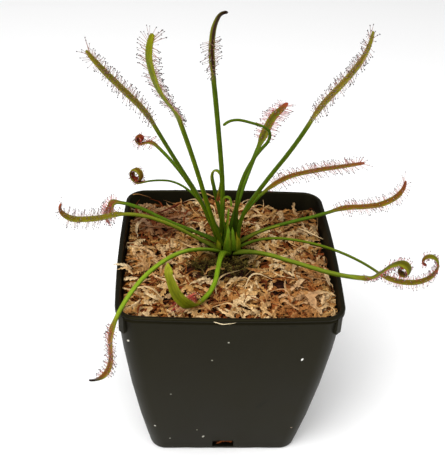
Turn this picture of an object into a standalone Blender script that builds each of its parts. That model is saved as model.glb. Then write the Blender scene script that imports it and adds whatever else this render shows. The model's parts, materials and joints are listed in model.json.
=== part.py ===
"""Potted cape sundew: a rosette of sticky strap leaves in a square plastic nursery pot
topped with dried sphagnum moss.

Metres, +Z up. The origin is the middle of the pot's flat underside. +Y points to the
back of the pot, and headings are degrees anticlockwise from +X, seen from above.
"""

import math
import random
from typing import NamedTuple

import bmesh
import bpy
from mathutils import Matrix, Vector, noise

MM = 0.001
SMOOTH_ANGLE = math.radians(35)

# Nursery pot: a thin moulded square pot, 3 inches across the rim and 3 inches tall
POT_RIM_SIDE = 76 * MM
POT_MOUTH_SIDE = 75 * MM
POT_BASE_SIDE = 55 * MM
# Extra width halfway up, where the walls bulge a little
POT_BULGE = 2.5 * MM
POT_HEIGHT = 75 * MM
POT_WALL = 1.0 * MM
POT_FLOOR = 2.0 * MM
RIM_BAND = 2.0 * MM
RIM_RADIUS = 7 * MM
BASE_RADIUS = 6 * MM
SIDE_BOW = 0.8 * MM
EDGE_ROUND = 0.6 * MM
CORNER_STEPS = 6
SLOT_SIZE = (8 * MM, 4 * MM)
SLOT_SILL = 1.7 * MM
SLOT_CUT = 8 * MM
SCALLOP_RISE = 0.8 * MM
SCALLOP_RADIUS = 20 * MM
SCALLOP_OFFSET = 13.5 * MM
SCALLOP_CUT = 4 * MM
SCALLOP_SIDES = 96
LUG_SIZE = (2.4 * MM, 1.4 * MM, 7 * MM)

# Sphagnum bed: one springy plug of dried moss that fills the pot
GAP = 0.3 * MM
BED_HEIGHT = 70.4 * MM
BED_RELIEF = 0.9 * MM
RELIEF_PER_METRE = 190
BED_RINGS = 9
# A mound or a hollow, in millimetres: centre x, centre y, radius, rise
BED_MOUNDS = (
    (1, 30, 11, 2.6),
    (-32, -6, 9, 2.2),
    (26, 32, 14, -3.2),
    (-27, 33, 12, -1.8),
    (33, 8, 13, -1.6),
    (20, -22, 12, 1.2),
)
STRANDS = 100
STRAND_LENGTH = (10 * MM, 16 * MM)
STRAND_WIDTH = (1.9 * MM, 3.0 * MM)
STRAND_RISE = (0.9 * MM, 1.4 * MM)
STRAND_SUNK = 0.7 * MM
STRAND_BOW = 0.12
STRAND_TIP = 0.45
# Corners of a strand's section, in shares of its width
STRAND_SECTION = ((-0.5, -0.35), (0.5, -0.35), (0.0, 0.5))
STRAND_TO_WALL = 2.2 * MM
STRAND_TO_STEM = 2.5 * MM
STRAND_TO_CUSHION = 1.5
STRAND_SEED = 12

# Live moss: a low green cushion at the front of the crown
CUSHION_CENTRE = (-2.5 * MM, -6.8 * MM)
CUSHION_RADII = (13 * MM, 5.4 * MM)
CUSHION_RISE = 1.7 * MM
CUSHION_SEAT = 0.8 * MM
CUSHION_GAP = 0.5 * MM
CUSHION_EDGE = 0.05
CUSHION_SIDES = 20
# Shares of the cushion's radii at its rings, under it outwards and over it inwards
CUSHION_UNDER = (0.3, 0.6, 1.0)
CUSHION_OVER = (0.97, 0.8, 0.5, 0.2)
# The bed's relief fades out between these shares of the cushion's radii
CUSHION_FADE = (1.1, 1.6)
TUFTS = 16
TUFT_REACH = 0.85
TUFT_RADII = (0.8 * MM, 0.1 * MM)
TUFT_HEIGHT = 1.8 * MM
TUFT_CENTRE = 0.4 * MM
TUFT_LEAN = 0.5
TUFT_SEED = 5

# Crown: the short stem that carries every leaf, with its rootstock in a plain hole
CROWN = Vector((0.5 * MM, 4 * MM, 71.5 * MM))
# Height over the crown's foot and radius, in millimetres, from the growing tip to the root's end
CROWN_PROFILE = (
    (8.4, 0.0),
    (8.0, 0.6),
    (6.0, 1.5),
    (4.0, 2.3),
    (2.0, 3.0),
    (0.0, 3.4),
    (-4.0, 2.3),
    (-16.0, 1.6),
    (-18.0, 0.0),
)
CROWN_STEPS = 14
HOLE_TOP_RADIUS = 4.0 * MM
HOLE_RADIUS = 2.8 * MM
HOLE_NECK = 5 * MM
HOLE_DEPTH = 20 * MM

# Leaves, in millimetres: a flattened stalk that widens into a strap blade
STALK_WIDTH = 1.9
STALK_THICK = 1.7
STALK_TAPER = 0.12
BARE_TAPER = 0.3
SHEATH_WIDTH = 2.7
SHEATH_LENGTH = 11
BLADE_THICK = 0.8
BLADE_FLARE = 5
TIP_WIDTH = 1.3
TIP_SHARE = 0.3
SEAT_GAP = 0.45
# Corners of a leaf's section, in shares of its width and thickness
LEAF_SECTION = ((0.5, 0), (0.25, 0.5), (-0.25, 0.5), (-0.5, 0), (-0.25, -0.5), (0.25, -0.5))
PATH_STEP = 0.25
STALK_STATION = 7.0
BLADE_STATION = 3.4
LEAST_STATION = 0.6
TURN_STATION = 30

# Tentacles, in millimetres: red hairs, each with a round gland
TENTACLE_SPACING = 4.2
TENTACLE_START = 1.5
TENTACLE_SUNK = 0.45
TENTACLE_SIDES = 3
# Share of the length and radius: root, neck, gland
TENTACLE_RINGS = ((0.0, 0.20), (0.80, 0.15), (0.92, 0.42))
MARGIN_LENGTH = (3.6, 4.4)
MARGIN_SPLAY = (0.15, 0.7)
ROLLED_SHARE = 0.6
ROLLED_SPLAY = (0.0, 0.15)
FACE_EVERY = 2
FACE_LENGTH = (2.7, 3.5)
FACE_LEAN = 0.5
TENTACLE_SWAY = (-0.15, 0.25)
TENTACLE_SEED = 23

STALK_GREEN = "6E9427"


class Leaf(NamedTuple):
    """Lengths in mm, angles in degrees; each list is at even steps from base to tip."""

    seat: tuple  # heading round the crown, height on it
    headings: tuple  # compass direction along the leaf
    stalk: float  # length of the bare stalk
    stalk_lifts: tuple  # its angle above the horizontal
    blade: float  # length of the sticky blade up to its rolled tip
    blade_lifts: tuple
    curl: tuple = (0, 1, 1)  # rolled tip: angle turned, first radius, last radius
    width: float = 4.0
    roll: float = 0.0  # turn of the sticky face about the blade's length
    stout: float = 0.8  # share of the full stalk's width and thickness
    tip: float = TIP_WIDTH  # width of the blade's end
    colour: str = STALK_GREEN


LEAVES = {
    "leaf_far_left": Leaf(
        (188, 3.2), (178,), 52.5, (76, 60, 62), 32.5, (46, 47, 54), stout=0.92, colour="8A8238"
    ),
    "leaf_upper_left": Leaf(
        (222, 4.4), (215,), 57, (69, 73, 70), 34, (51, 67, 79, 116), stout=1, colour="8C8C36"
    ),
    "leaf_tall_centre": Leaf(
        (194, 6.3),
        (190,),
        62.5,
        (92, 84, 83),
        20,
        (82, 90, 96, 118),
        (74, 3.0, 1.9),
        3.0,
        stout=0.96,
        colour="6B4A2A",
    ),
    "leaf_bent_bare": Leaf(
        (27, 6.2),
        (32,),
        37,
        (90, 90, 64, 34),
        27,
        (84, 134, 151, 152, 153, 157, 175, 209),
        width=0,
        stout=0.85,
    ),
    "leaf_fringed_back": Leaf(
        (72, 5.2), (58,), 34, (79, 53, 43), 23, (38, 0, 7), stout=0.9, colour="A05A3C"
    ),
    "leaf_upper_right": Leaf(
        (-22, 4.0), (-6,), 56, (96, 62, 59, 66), 35.5, (53, 60, 87), stout=0.88, colour="8E8636"
    ),
    "leaf_back_right": Leaf(
        (40, 3.0), (22,), 23, (95, 54, 34), 40.5, (0, -4, -3), width=3.4, stout=0.75, colour="A8702E"
    ),
    "leaf_right": Leaf(
        (30, 1.0), (10,), 37.5, (40, 15, 9, 16), 31.5, (-5, 3, 35, 95), width=3.6, colour="9A6A30"
    ),
    "leaf_hooked_right": Leaf(
        (-20, 2.0),
        (-12,),
        54,
        (41, 2, -15, -33),
        27,
        (-10, 15, 54, 108),
        (237, 3.1, 1.4),
        3.4,
        stout=0.6,
        colour="8E5A34",
    ),
    "leaf_spiral_right": Leaf(
        (-54, 1.1),
        (-33,),
        50,
        (30, 5, 5, 19),
        15.5,
        (51, 58, 32),
        (-400, 2.6, 0.7),
        3.8,
        180,
        stout=0.95,
        colour="A0502E",
    ),
    "leaf_front_folded": Leaf(
        (-100, 1.4),
        (-117, -104, -98, -112, -134, -153, -193, -226),
        32.5,
        (49, -17, -3, 0),
        22.5,
        (47, 57, 73, 68, 122),
        width=4.2,
        roll=80,
        stout=0.95,
        tip=3.4,
        colour="8FA03A",
    ),
    "leaf_over_rim": Leaf(
        (-134, 1.2),
        (-130,),
        61,
        (38, 24, -8, -54),
        28,
        (-77, -91, -90, -54, 21, 41),
        roll=25,
        stout=0.85,
        colour="8A5F2E",
    ),
    "leaf_left_folded": Leaf(
        (156, 2.2), (164,), 40, (20, 12, 22, -3), 12.5, (-83, -52, -153), colour="B0504A"
    ),
    "leaf_left_low": Leaf(
        (184, 1.0),
        (175,),
        36.5,
        (26, 30, 19, -5),
        22.5,
        (-22, -10, -5, 44),
        (81, 4.0, 2.5),
        3.6,
        colour="8C7A35",
    ),
    "leaf_snail": Leaf(
        (122, 3.0),
        (142,),
        45.5,
        (16, 67, 19, -18, -29),
        4,
        (-30, -5),
        (415, 2.1, 1.0),
        2.6,
        stout=0.55,
        colour="A86A38",
    ),
    "leaf_knob": Leaf(
        (142, 4.6),
        (152,),
        40.5,
        (53, 53, 33),
        5.5,
        (-8, -40),
        (357, 1.9, 0.7),
        2.6,
        stout=0.75,
        colour="8E3428",
    ),
    "leaf_young_loop": Leaf(
        (140, 6.6), (140,), 20.5, (84, 69, 72, 73), 13, (97, 133, 205, 265, 279, 280), width=1.3, stout=0.65
    ),
    "leaf_bud_loop": Leaf(
        (256, 5.0), (352,), 18.5, (100, 100, 84), 6, (18, -57, -82, -90), width=1.2, stout=0.6
    ),
    "leaf_stub": Leaf((9, 2.8), (11,), 14, (36, 28, 20), 2, (16, 14), width=0, stout=0.7),
}


class Station(NamedTuple):
    """A place on a leaf: distance from its base, point, direction, sticky face and side."""

    s: float
    point: Vector
    along: Vector
    face: Vector
    side: Vector


def set_scene():
    for obj in list(bpy.data.objects):
        bpy.data.objects.remove(obj)
    part = bpy.data.collections.new("potted_cape_sundew")
    helpers = bpy.data.collections.new("helpers")
    helpers.hide_render = True
    for collection in (part, helpers):
        bpy.context.scene.collection.children.link(collection)
    return part, helpers


def linear(hexa):
    """The linear colour of an sRGB hex value."""
    channels = [int(hexa[i : i + 2], 16) / 255 for i in (0, 2, 4)]
    return [c / 12.92 if c <= 0.04045 else ((c + 0.055) / 1.055) ** 2.4 for c in channels] + [1.0]


def material(name, hexa, roughness, subsurface=0.0):
    made = bpy.data.materials.new(name)
    made.use_nodes = True
    shader = made.node_tree.nodes["Principled BSDF"]
    shader.inputs["Base Color"].default_value = linear(hexa)
    shader.inputs["Roughness"].default_value = roughness
    shader.inputs["Metallic"].default_value = 0.0
    shader.inputs["Subsurface Weight"].default_value = subsurface
    return made


def add_object(name, bm, collection, finish=None):
    """An object from a bmesh, with its normals facing out."""
    bmesh.ops.recalc_face_normals(bm, faces=bm.faces)
    mesh = bpy.data.meshes.new(name)
    bm.to_mesh(mesh)
    bm.free()
    mesh.shade_smooth()
    mesh.set_sharp_from_angle(angle=SMOOTH_ANGLE)
    if finish:
        mesh.materials.append(finish)
    return link_object(name, mesh, collection)


def link_object(name, mesh, collection):
    obj = bpy.data.objects.new(name, mesh)
    collection.objects.link(obj)
    if collection.hide_render:
        obj.hide_render = True
        obj.display_type = "WIRE"
    return obj


def loft(rings):
    """A closed skin over rings of points, capped at both ends."""
    bm = bmesh.new()
    loops = [[bm.verts.new(point) for point in ring] for ring in rings]
    for low, high in zip(loops, loops[1:]):
        for i in range(len(low)):
            j = (i + 1) % len(low)
            bm.faces.new((low[i], low[j], high[j], high[i]))
    bm.faces.new(loops[0][::-1])
    bm.faces.new(loops[-1])
    return bm


def box(size, place):
    bm = bmesh.new()
    bmesh.ops.create_cube(bm, size=1)
    bmesh.ops.transform(bm, matrix=place @ Matrix.Diagonal((*size, 1)), verts=bm.verts)
    return bm


def apply_boolean(obj, operation, collection):
    """Fuses the collection's objects into the object, or cuts them out, and removes them."""
    boolean = obj.modifiers.new("boolean", "BOOLEAN")
    boolean.operation = operation
    boolean.operand_type = "COLLECTION"
    boolean.collection = collection
    graph = bpy.context.evaluated_depsgraph_get()
    mesh = bpy.data.meshes.new_from_object(obj.evaluated_get(graph))
    obj.modifiers.remove(boolean)
    obj.data = mesh
    for helper in list(collection.objects):
        bpy.data.objects.remove(helper)
    keep_largest_skin(mesh)


def keep_largest_skin(mesh):
    """Fills the pockets that fusing seals, and drops loose scraps."""
    bm = bmesh.new()
    bm.from_mesh(mesh)
    left = set(bm.verts)
    skins = []
    while left:
        skin = {left.pop()}
        front = list(skin)
        while front:
            for edge in front.pop().link_edges:
                for vert in left.intersection(edge.verts):
                    left.remove(vert)
                    skin.add(vert)
                    front.append(vert)
        skins.append(skin)
    skins.sort(key=len)
    for skin in skins[:-1]:
        bmesh.ops.delete(bm, geom=list(skin), context="VERTS")
    bm.to_mesh(mesh)
    bm.free()


def rounded_square(side, radius, z, bow):
    """Points round a square with round corners, whose straight sides bow outwards."""
    inner = side / 2 - radius
    points = []
    for corner in range(4):
        turn = corner * math.pi / 2
        spin = Matrix.Rotation(turn, 3, "Z")
        centre = spin @ Vector((inner, inner, 0))
        for step in range(CORNER_STEPS + 1):
            angle = turn + step / CORNER_STEPS * math.pi / 2
            points.append(centre + radius * Vector((math.cos(angle), math.sin(angle), 0)))
        points.append(spin @ Vector((0, side / 2 + bow, 0)))
    return [Vector((p.x, p.y, z)) for p in points]


def pot_side(z):
    """Outer width of the pot's wall at a height."""
    share = z / POT_HEIGHT
    bulge = POT_BULGE * 4 * share * (1 - share)
    return POT_BASE_SIDE + (POT_MOUTH_SIDE - POT_BASE_SIDE) * share + bulge


def pot_radius(z):
    """Radius of the wall's corners at a height."""
    return BASE_RADIUS + (RIM_RADIUS - BASE_RADIUS) * z / POT_HEIGHT


def pot_ring(z, inset=0.0):
    """Outline of the pot's wall at a height, drawn in by an inset."""
    return rounded_square(pot_side(z) - 2 * inset, pot_radius(z) - inset, z, SIDE_BOW * z / POT_HEIGHT)


def wall_rings(inset=0.0):
    """The wall's outlines at a quarter, half and three quarters of its height."""
    return [pot_ring(POT_HEIGHT * quarter / 4, inset) for quarter in (1, 2, 3)]


def rim_ring(z, inset=0.0):
    """Outline of the band round the rim."""
    lip = (POT_RIM_SIDE - POT_MOUTH_SIDE) / 2
    return rounded_square(POT_RIM_SIDE - 2 * inset, RIM_RADIUS + lip - inset, z, SIDE_BOW)


def quarter_turns():
    return [Matrix.Rotation(quarter * math.pi / 2, 4, "Z") for quarter in range(4)]


def make_pot(part, helpers):
    """Up the outside from the foot to the rim, then down the inside to the floor."""
    rings = [
        pot_ring(0, EDGE_ROUND),
        pot_ring(EDGE_ROUND),
        *wall_rings(),
        pot_ring(POT_HEIGHT - RIM_BAND),
        rim_ring(POT_HEIGHT - RIM_BAND + EDGE_ROUND),
        rim_ring(POT_HEIGHT - EDGE_ROUND / 2),
        rim_ring(POT_HEIGHT, EDGE_ROUND / 2),
        pot_ring(POT_HEIGHT, POT_WALL - EDGE_ROUND / 2),
        pot_ring(POT_HEIGHT - EDGE_ROUND / 2, POT_WALL),
        *wall_rings(POT_WALL)[::-1],
        pot_ring(POT_FLOOR + EDGE_ROUND, POT_WALL),
        pot_ring(POT_FLOOR, POT_WALL + EDGE_ROUND),
    ]
    finish = material("black moulded polypropylene", "2B2A22", 0.42)
    pot = add_object("nursery_pot", loft(rings), part, finish)
    add_lugs(helpers)
    apply_boolean(pot, "UNION", helpers)
    add_cutters(helpers)
    apply_boolean(pot, "DIFFERENCE", helpers)


def add_lugs(helpers):
    """A short upright rib on each corner, under the rim, that stops stacked pots from jamming."""
    _, deep, tall = LUG_SIZE
    middle = POT_HEIGHT - (RIM_BAND + tall) / 2
    radius = pot_radius(middle)
    corner = (pot_side(middle) / 2 - radius) * math.sqrt(2) + radius
    to_corner = Matrix.Rotation(math.pi / 4, 4, "Z")
    for quarter, turn in enumerate(quarter_turns()):
        place = turn @ to_corner @ Matrix.Translation((0, -corner - (deep - POT_WALL) / 2, middle))
        add_object(f"lug_{quarter}", box(LUG_SIZE, place), helpers)


def add_cutters(helpers):
    """A drain slot in the foot of each wall, with a shallow scallop on each side of it."""
    width, height = SLOT_SIZE
    reach = POT_BASE_SIDE / 2
    tip_over = Matrix.Rotation(math.pi / 2, 4, "X")
    for quarter, turn in enumerate(quarter_turns()):
        place = turn @ Matrix.Translation((0, -reach, SLOT_SILL + height / 2))
        add_object(f"slot_cutter_{quarter}", box((width, SLOT_CUT, height), place), helpers)
        for side in (-1, 1):
            bm = bmesh.new()
            bmesh.ops.create_cone(
                bm,
                cap_ends=True,
                segments=SCALLOP_SIDES,
                radius1=SCALLOP_RADIUS,
                radius2=SCALLOP_RADIUS,
                depth=SCALLOP_CUT,
            )
            place = turn @ Matrix.Translation((side * SCALLOP_OFFSET, -reach, SCALLOP_RISE - SCALLOP_RADIUS))
            bmesh.ops.transform(bm, matrix=place @ tip_over, verts=bm.verts)
            add_object(f"scallop_cutter_{quarter}_{side + 1}", bm, helpers)


def cushion_share(x, y):
    """0 at the middle of the live moss and 1 at its edge, more outside it."""
    return math.hypot((x - CUSHION_CENTRE[0]) / CUSHION_RADII[0], (y - CUSHION_CENTRE[1]) / CUSHION_RADII[1])


def ease(value):
    value = min(max(value, 0.0), 1.0)
    return value * value * (3 - 2 * value)


def bed_height(x, y):
    """Height of the moss at a place: level, with named mounds, fine relief and a seat for the live moss."""
    z = BED_HEIGHT
    for centre_x, centre_y, radius, rise in BED_MOUNDS:
        away = math.hypot(x / MM - centre_x, y / MM - centre_y) / radius
        z += rise * MM * math.exp(-away * away)
    start, end = CUSHION_FADE
    outside = ease((cushion_share(x, y) - start) / (end - start))
    relief = BED_RELIEF * noise.noise(Vector((x, y, 0)) * RELIEF_PER_METRE)
    return z + relief * outside - CUSHION_SEAT * (1 - outside)


def on_bed(point, above=0.0):
    return Vector((point.x, point.y, bed_height(point.x, point.y) + above))


def bed_edge(z):
    """Outline of the plug, a gap inside the pot's inner wall."""
    return pot_ring(z, POT_WALL + GAP)


def bed_surface_edge():
    """The plug's top edge: each point is drawn in as the wall slopes in below the level of the bed."""
    points = bed_edge(BED_HEIGHT)
    return [on_bed(bed_edge(bed_height(point.x, point.y))[i]) for i, point in enumerate(points)]


def hole_ring(edge, radius, z=0.0):
    """Points round the stem's hole, each on the line from the crown to a point of the edge."""
    points = []
    for point in edge:
        away = (point - CROWN).xy.normalized() * radius
        points.append(Vector((CROWN.x + away.x, CROWN.y + away.y, z)))
    return points


def bed_rings():
    """Up the pot's inside, over the surface to the stem's hole, and down the hole."""
    edge = bed_surface_edge()
    mouth = hole_ring(edge, HOLE_TOP_RADIUS)
    rings = [
        pot_ring(POT_FLOOR + GAP, POT_WALL + GAP + EDGE_ROUND),
        bed_edge(POT_FLOOR + GAP + EDGE_ROUND),
        *wall_rings(POT_WALL + GAP),
    ]
    for ring in range(BED_RINGS + 1):
        share = ring / BED_RINGS
        rings.append([on_bed(out.lerp(inner, share)) for out, inner in zip(edge, mouth)])
    rings.append(hole_ring(edge, HOLE_RADIUS, CROWN.z - HOLE_NECK))
    rings.append(hole_ring(edge, HOLE_RADIUS, CROWN.z - HOLE_DEPTH))
    return rings


def strand(middle, along, draw):
    """A limp moss stem that arches out of the bed and back: three sided, tapered to its ends."""
    across = Vector((-along.y, along.x, 0)).normalized()
    width = draw.uniform(*STRAND_WIDTH)
    rise = draw.uniform(*STRAND_RISE)
    rings = []
    for share in (0.0, 0.5, 1.0):
        arch = math.sin(math.pi * share)
        spot = middle + along * (share - 0.5) + across * along.length * STRAND_BOW * arch
        wide = width * (STRAND_TIP + (1 - STRAND_TIP) * arch)
        base = on_bed(spot, rise * arch - STRAND_SUNK)
        rings.append([base + across * side * wide + Vector((0, 0, up * wide)) for side, up in STRAND_SECTION])
    return loft(rings)


def strand_fits(points):
    """True where a strand is clear of the wall, the crown and the live moss."""
    to_wall = pot_side(BED_HEIGHT) / 2 - POT_WALL - GAP - STRAND_TO_WALL
    for point in points:
        if max(abs(point.x), abs(point.y)) > to_wall:
            return False
        if (point - CROWN).xy.length < HOLE_TOP_RADIUS + STRAND_TO_STEM:
            return False
        if cushion_share(point.x, point.y) < STRAND_TO_CUSHION:
            return False
    return True


def make_bed(part, helpers):
    """The plug of moss, with loose strands fused to its surface."""
    finish = material("dried sphagnum", "C9A36B", 0.9)
    bed = add_object("sphagnum_bed", loft(bed_rings()), part, finish)
    draw = random.Random(STRAND_SEED)
    half = POT_MOUTH_SIDE / 2
    made = 0
    while made < STRANDS:
        middle = Vector((draw.uniform(-half, half), draw.uniform(-half, half), 0))
        heading = draw.uniform(0, math.tau)
        along = draw.uniform(*STRAND_LENGTH) * Vector((math.cos(heading), math.sin(heading), 0))
        if strand_fits((middle - along / 2, middle, middle + along / 2)):
            add_object(f"strand_{made}", strand(middle, along, draw), helpers)
            made += 1
    apply_boolean(bed, "UNION", helpers)


def cushion_point(share, angle, above):
    """A point over the bed, at a share of the live moss's radii."""
    x = CUSHION_CENTRE[0] + share * CUSHION_RADII[0] * math.cos(angle)
    y = CUSHION_CENTRE[1] + share * CUSHION_RADII[1] * math.sin(angle)
    return on_bed(Vector((x, y, 0)), CUSHION_GAP + above)


def cushion_rise(share):
    """How far the pad stands over its seat, from its middle, 0, to its edge, 1."""
    return CUSHION_RISE * (1 + CUSHION_EDGE - share**3)


def make_cushion(part, helpers):
    """A low green pad that follows the bed, with pointed tufts."""

    def ring(share, above):
        return [cushion_point(share, math.tau * i / CUSHION_SIDES, above) for i in range(CUSHION_SIDES)]

    rings = [ring(share, 0) for share in CUSHION_UNDER]
    rings += [ring(share, cushion_rise(share)) for share in CUSHION_OVER]
    finish = material("live green moss", "6F7B2A", 0.8)
    cushion = add_object("live_moss", loft(rings), part, finish)
    draw = random.Random(TUFT_SEED)
    for tuft in range(TUFTS):
        share = TUFT_REACH * math.sqrt(draw.random())
        spot = cushion_point(share, draw.uniform(0, math.tau), cushion_rise(share) + TUFT_CENTRE)
        bm = bmesh.new()
        bmesh.ops.create_cone(
            bm, cap_ends=True, segments=4, radius1=TUFT_RADII[0], radius2=TUFT_RADII[1], depth=TUFT_HEIGHT
        )
        place = Matrix.Translation(spot)
        for axis in "XY":
            place @= Matrix.Rotation(draw.uniform(-TUFT_LEAN, TUFT_LEAN), 4, axis)
        bmesh.ops.transform(bm, matrix=place, verts=bm.verts)
        add_object(f"tuft_{tuft}", bm, helpers)
    apply_boolean(cushion, "UNION", helpers)


def make_crown(part):
    """A turned stem: a short cone above the moss and a tapering rootstock below it."""
    mesh = bpy.data.meshes.new("crown_stem")
    points = [(radius * MM, 0, height * MM) for height, radius in CROWN_PROFILE]
    mesh.from_pydata(points, [(i, i + 1) for i in range(len(points) - 1)], [])
    mesh.materials.append(material("pale green crown", "7C9440", 0.6))
    crown = link_object("crown_stem", mesh, part)
    crown.location = CROWN
    turned = crown.modifiers.new("turned", "SCREW")
    turned.steps = turned.render_steps = CROWN_STEPS
    turned.use_merge_vertices = True
    turned.merge_threshold = 0.05 * MM
    turned.use_smooth_shade = True


def crown_radius(height):
    """Radius of the crown, in millimetres, at a height over its foot."""
    for (high, r_high), (low, r_low) in zip(CROWN_PROFILE, CROWN_PROFILE[1:]):
        if low <= height <= high:
            return r_low + (r_high - r_low) * (height - low) / (high - low)
    return 0.0


def read_along(values, share):
    """The value at a share of the way along a list of even steps."""
    if len(values) == 1:
        return values[0]
    place = min(max(share, 0.0), 1.0) * (len(values) - 1)
    first = min(int(place), len(values) - 2)
    return values[first] + (values[first + 1] - values[first]) * (place - first)


def leaf_length(leaf):
    """Length of stalk, blade and rolled tip."""
    angle, first, last = leaf.curl
    return leaf.stalk + leaf.blade + abs(math.radians(angle)) * (first + last) / 2


def lift_at(leaf, s):
    """The leaf's angle above the horizontal, in degrees, s millimetres along it."""
    if s <= leaf.stalk:
        return read_along(leaf.stalk_lifts, s / leaf.stalk)
    lifts = (leaf.stalk_lifts[-1],) + leaf.blade_lifts
    if s <= leaf.stalk + leaf.blade:
        return read_along(lifts, (s - leaf.stalk) / leaf.blade)
    angle, first, last = leaf.curl
    beyond = s - leaf.stalk - leaf.blade
    tightening = (last - first) / abs(math.radians(angle))
    turned = (math.sqrt(max(first * first + 2 * tightening * beyond, 0.0)) - first) / tightening
    return lifts[-1] + math.copysign(math.degrees(turned), angle)


def leaf_start(leaf):
    """Where the stalk's middle line leaves the crown, its back a gap away from it."""
    heading = math.radians(leaf.seat[0])
    standing = abs(math.sin(math.radians(leaf.stalk_lifts[0])))
    reach = crown_radius(leaf.seat[1]) + SEAT_GAP + STALK_THICK * leaf.stout / 2 * standing
    return CROWN / MM + Vector((reach * math.cos(heading), reach * math.sin(heading), leaf.seat[1]))


def leaf_path(leaf):
    """Stations along the leaf, nearer together on the blade and where it bends."""
    point = leaf_start(leaf)
    whole = leaf_length(leaf)
    steps = round(whole / PATH_STEP)
    stations = []
    last_lift = 0.0
    for i in range(steps + 1):
        s = whole * i / steps
        lift = lift_at(leaf, s)
        heading = math.radians(read_along(leaf.headings, s / whole))
        flat = Vector((math.cos(heading), math.sin(heading), 0))
        up = Vector((0, 0, 1))
        tilt = math.radians(lift)
        along = flat * math.cos(tilt) + up * math.sin(tilt)
        spacing = STALK_STATION if s < leaf.stalk - 1 else BLADE_STATION
        due = not stations or s - stations[-1].s >= spacing or abs(lift - last_lift) >= TURN_STATION
        if due or i == steps:
            if i == steps and s - stations[-1].s < LEAST_STATION:
                stations.pop()
            rolled = min(max((s - leaf.stalk + BLADE_FLARE) / (2 * BLADE_FLARE), 0), 1)
            roll = Matrix.Rotation(math.radians(leaf.roll * rolled), 3, along)
            face = roll @ (up * math.cos(tilt) - flat * math.sin(tilt))
            stations.append(Station(s, point.copy(), along, face, along.cross(face)))
            last_lift = lift
        point = point + along * (whole / steps)
    return stations


def station_at(path, s):
    """The place on the leaf s millimetres along it, between two stations."""
    for low, high in zip(path, path[1:]):
        if low.s <= s <= high.s:
            share = (s - low.s) / (high.s - low.s)
            return Station(s, *(a.lerp(b, share) for a, b in zip(low[1:], high[1:])))
    return path[-1]


def leaf_size(leaf, s):
    """Width and thickness of the leaf, s millimetres along it."""
    whole = leaf_length(leaf)
    stalk = STALK_WIDTH * (1 - STALK_TAPER * s / whole)
    stalk += (SHEATH_WIDTH - STALK_WIDTH) * max(0.0, 1 - s / SHEATH_LENGTH)
    stalk *= leaf.stout
    deep = STALK_THICK * leaf.stout
    if leaf.width == 0:
        taper = 1 - BARE_TAPER * s / whole
        return stalk * taper, deep * taper
    flare = ease((s - leaf.stalk + 1) / BLADE_FLARE)
    width = stalk + (leaf.width - stalk) * flare
    to_tip = max(0.0, (whole - s) / (TIP_SHARE * (whole - leaf.stalk)))
    if to_tip < 1:
        tip = min(leaf.tip, leaf.width)
        width = tip + (width - tip) * math.sqrt(to_tip)
    return width, deep + (BLADE_THICK - deep) * flare


def leaf_body(leaf):
    rings = []
    for place in leaf_path(leaf):
        width, thick = leaf_size(leaf, place.s)
        side, face = place.side * width, place.face * thick
        rings.append([(place.point + side * across + face * up) * MM for across, up in LEAF_SECTION])
    return loft(rings)


def tentacle_mesh():
    """One tentacle, 1 mm long along +Z: a thin stalk that swells to a gland with a pointed end."""
    rings = []
    for share, radius in TENTACLE_RINGS:
        angles = [math.tau * i / TENTACLE_SIDES for i in range(TENTACLE_SIDES)]
        rings.append([Vector((radius * math.cos(a), radius * math.sin(a), share)) * MM for a in angles])
    bm = loft(rings)
    end = max(bm.faces, key=lambda face: face.calc_center_median().z)
    tip = bmesh.ops.poke(bm, faces=[end])["verts"][0]
    tip.co.z = 1.0 * MM
    bmesh.ops.recalc_face_normals(bm, faces=bm.faces)
    mesh = bpy.data.meshes.new("tentacle")
    bm.to_mesh(mesh)
    bm.free()
    return mesh


def plant_tentacle(mesh, helpers, root, direction, length):
    """Sets a tentacle at its root, stretched along its direction only."""
    turn = direction.to_track_quat("Z", "Y").to_matrix().to_4x4()
    obj = link_object(f"tentacle_{len(helpers.objects)}", mesh, helpers)
    obj.matrix_world = Matrix.Translation(root * MM) @ turn @ Matrix.Diagonal((1, 1, length, 1))


def add_margin_pair(leaf, place, mesh, helpers, draw):
    """A tentacle on each edge of the blade; on the rolled tip they are short and lie flat."""
    rolled = place.s > leaf.stalk + leaf.blade
    half = leaf_size(leaf, place.s)[0] / 2
    for hand in (-1, 1):
        splay = draw.uniform(*(ROLLED_SPLAY if rolled else MARGIN_SPLAY))
        direction = place.side * hand + place.face * splay + place.along * draw.uniform(*TENTACLE_SWAY)
        length = draw.uniform(*MARGIN_LENGTH) * (ROLLED_SHARE if rolled else 1) + TENTACLE_SUNK
        root = place.point + place.side * hand * (half - TENTACLE_SUNK)
        plant_tentacle(mesh, helpers, root, direction.normalized(), length)


def add_face_tentacle(place, mesh, helpers, draw):
    """A shorter tentacle near the middle of the sticky face."""
    lean = place.side * draw.uniform(-FACE_LEAN, FACE_LEAN) + place.along * draw.uniform(*TENTACLE_SWAY)
    plant_tentacle(mesh, helpers, place.point, (place.face + lean).normalized(), draw.uniform(*FACE_LENGTH))


def add_tentacles(leaf, mesh, helpers, draw):
    """Rows along both edges of the blade and down its sticky face, out to the tip."""
    path = leaf_path(leaf)
    rows = int((leaf_length(leaf) - leaf.stalk - TENTACLE_START) / TENTACLE_SPACING) + 1
    for row in range(rows):
        s = leaf.stalk + TENTACLE_START + row * TENTACLE_SPACING
        add_margin_pair(leaf, station_at(path, s), mesh, helpers, draw)
        between = s + TENTACLE_SPACING / 2
        if row % FACE_EVERY and between < leaf.stalk + leaf.blade:
            add_face_tentacle(station_at(path, between), mesh, helpers, draw)


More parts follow.
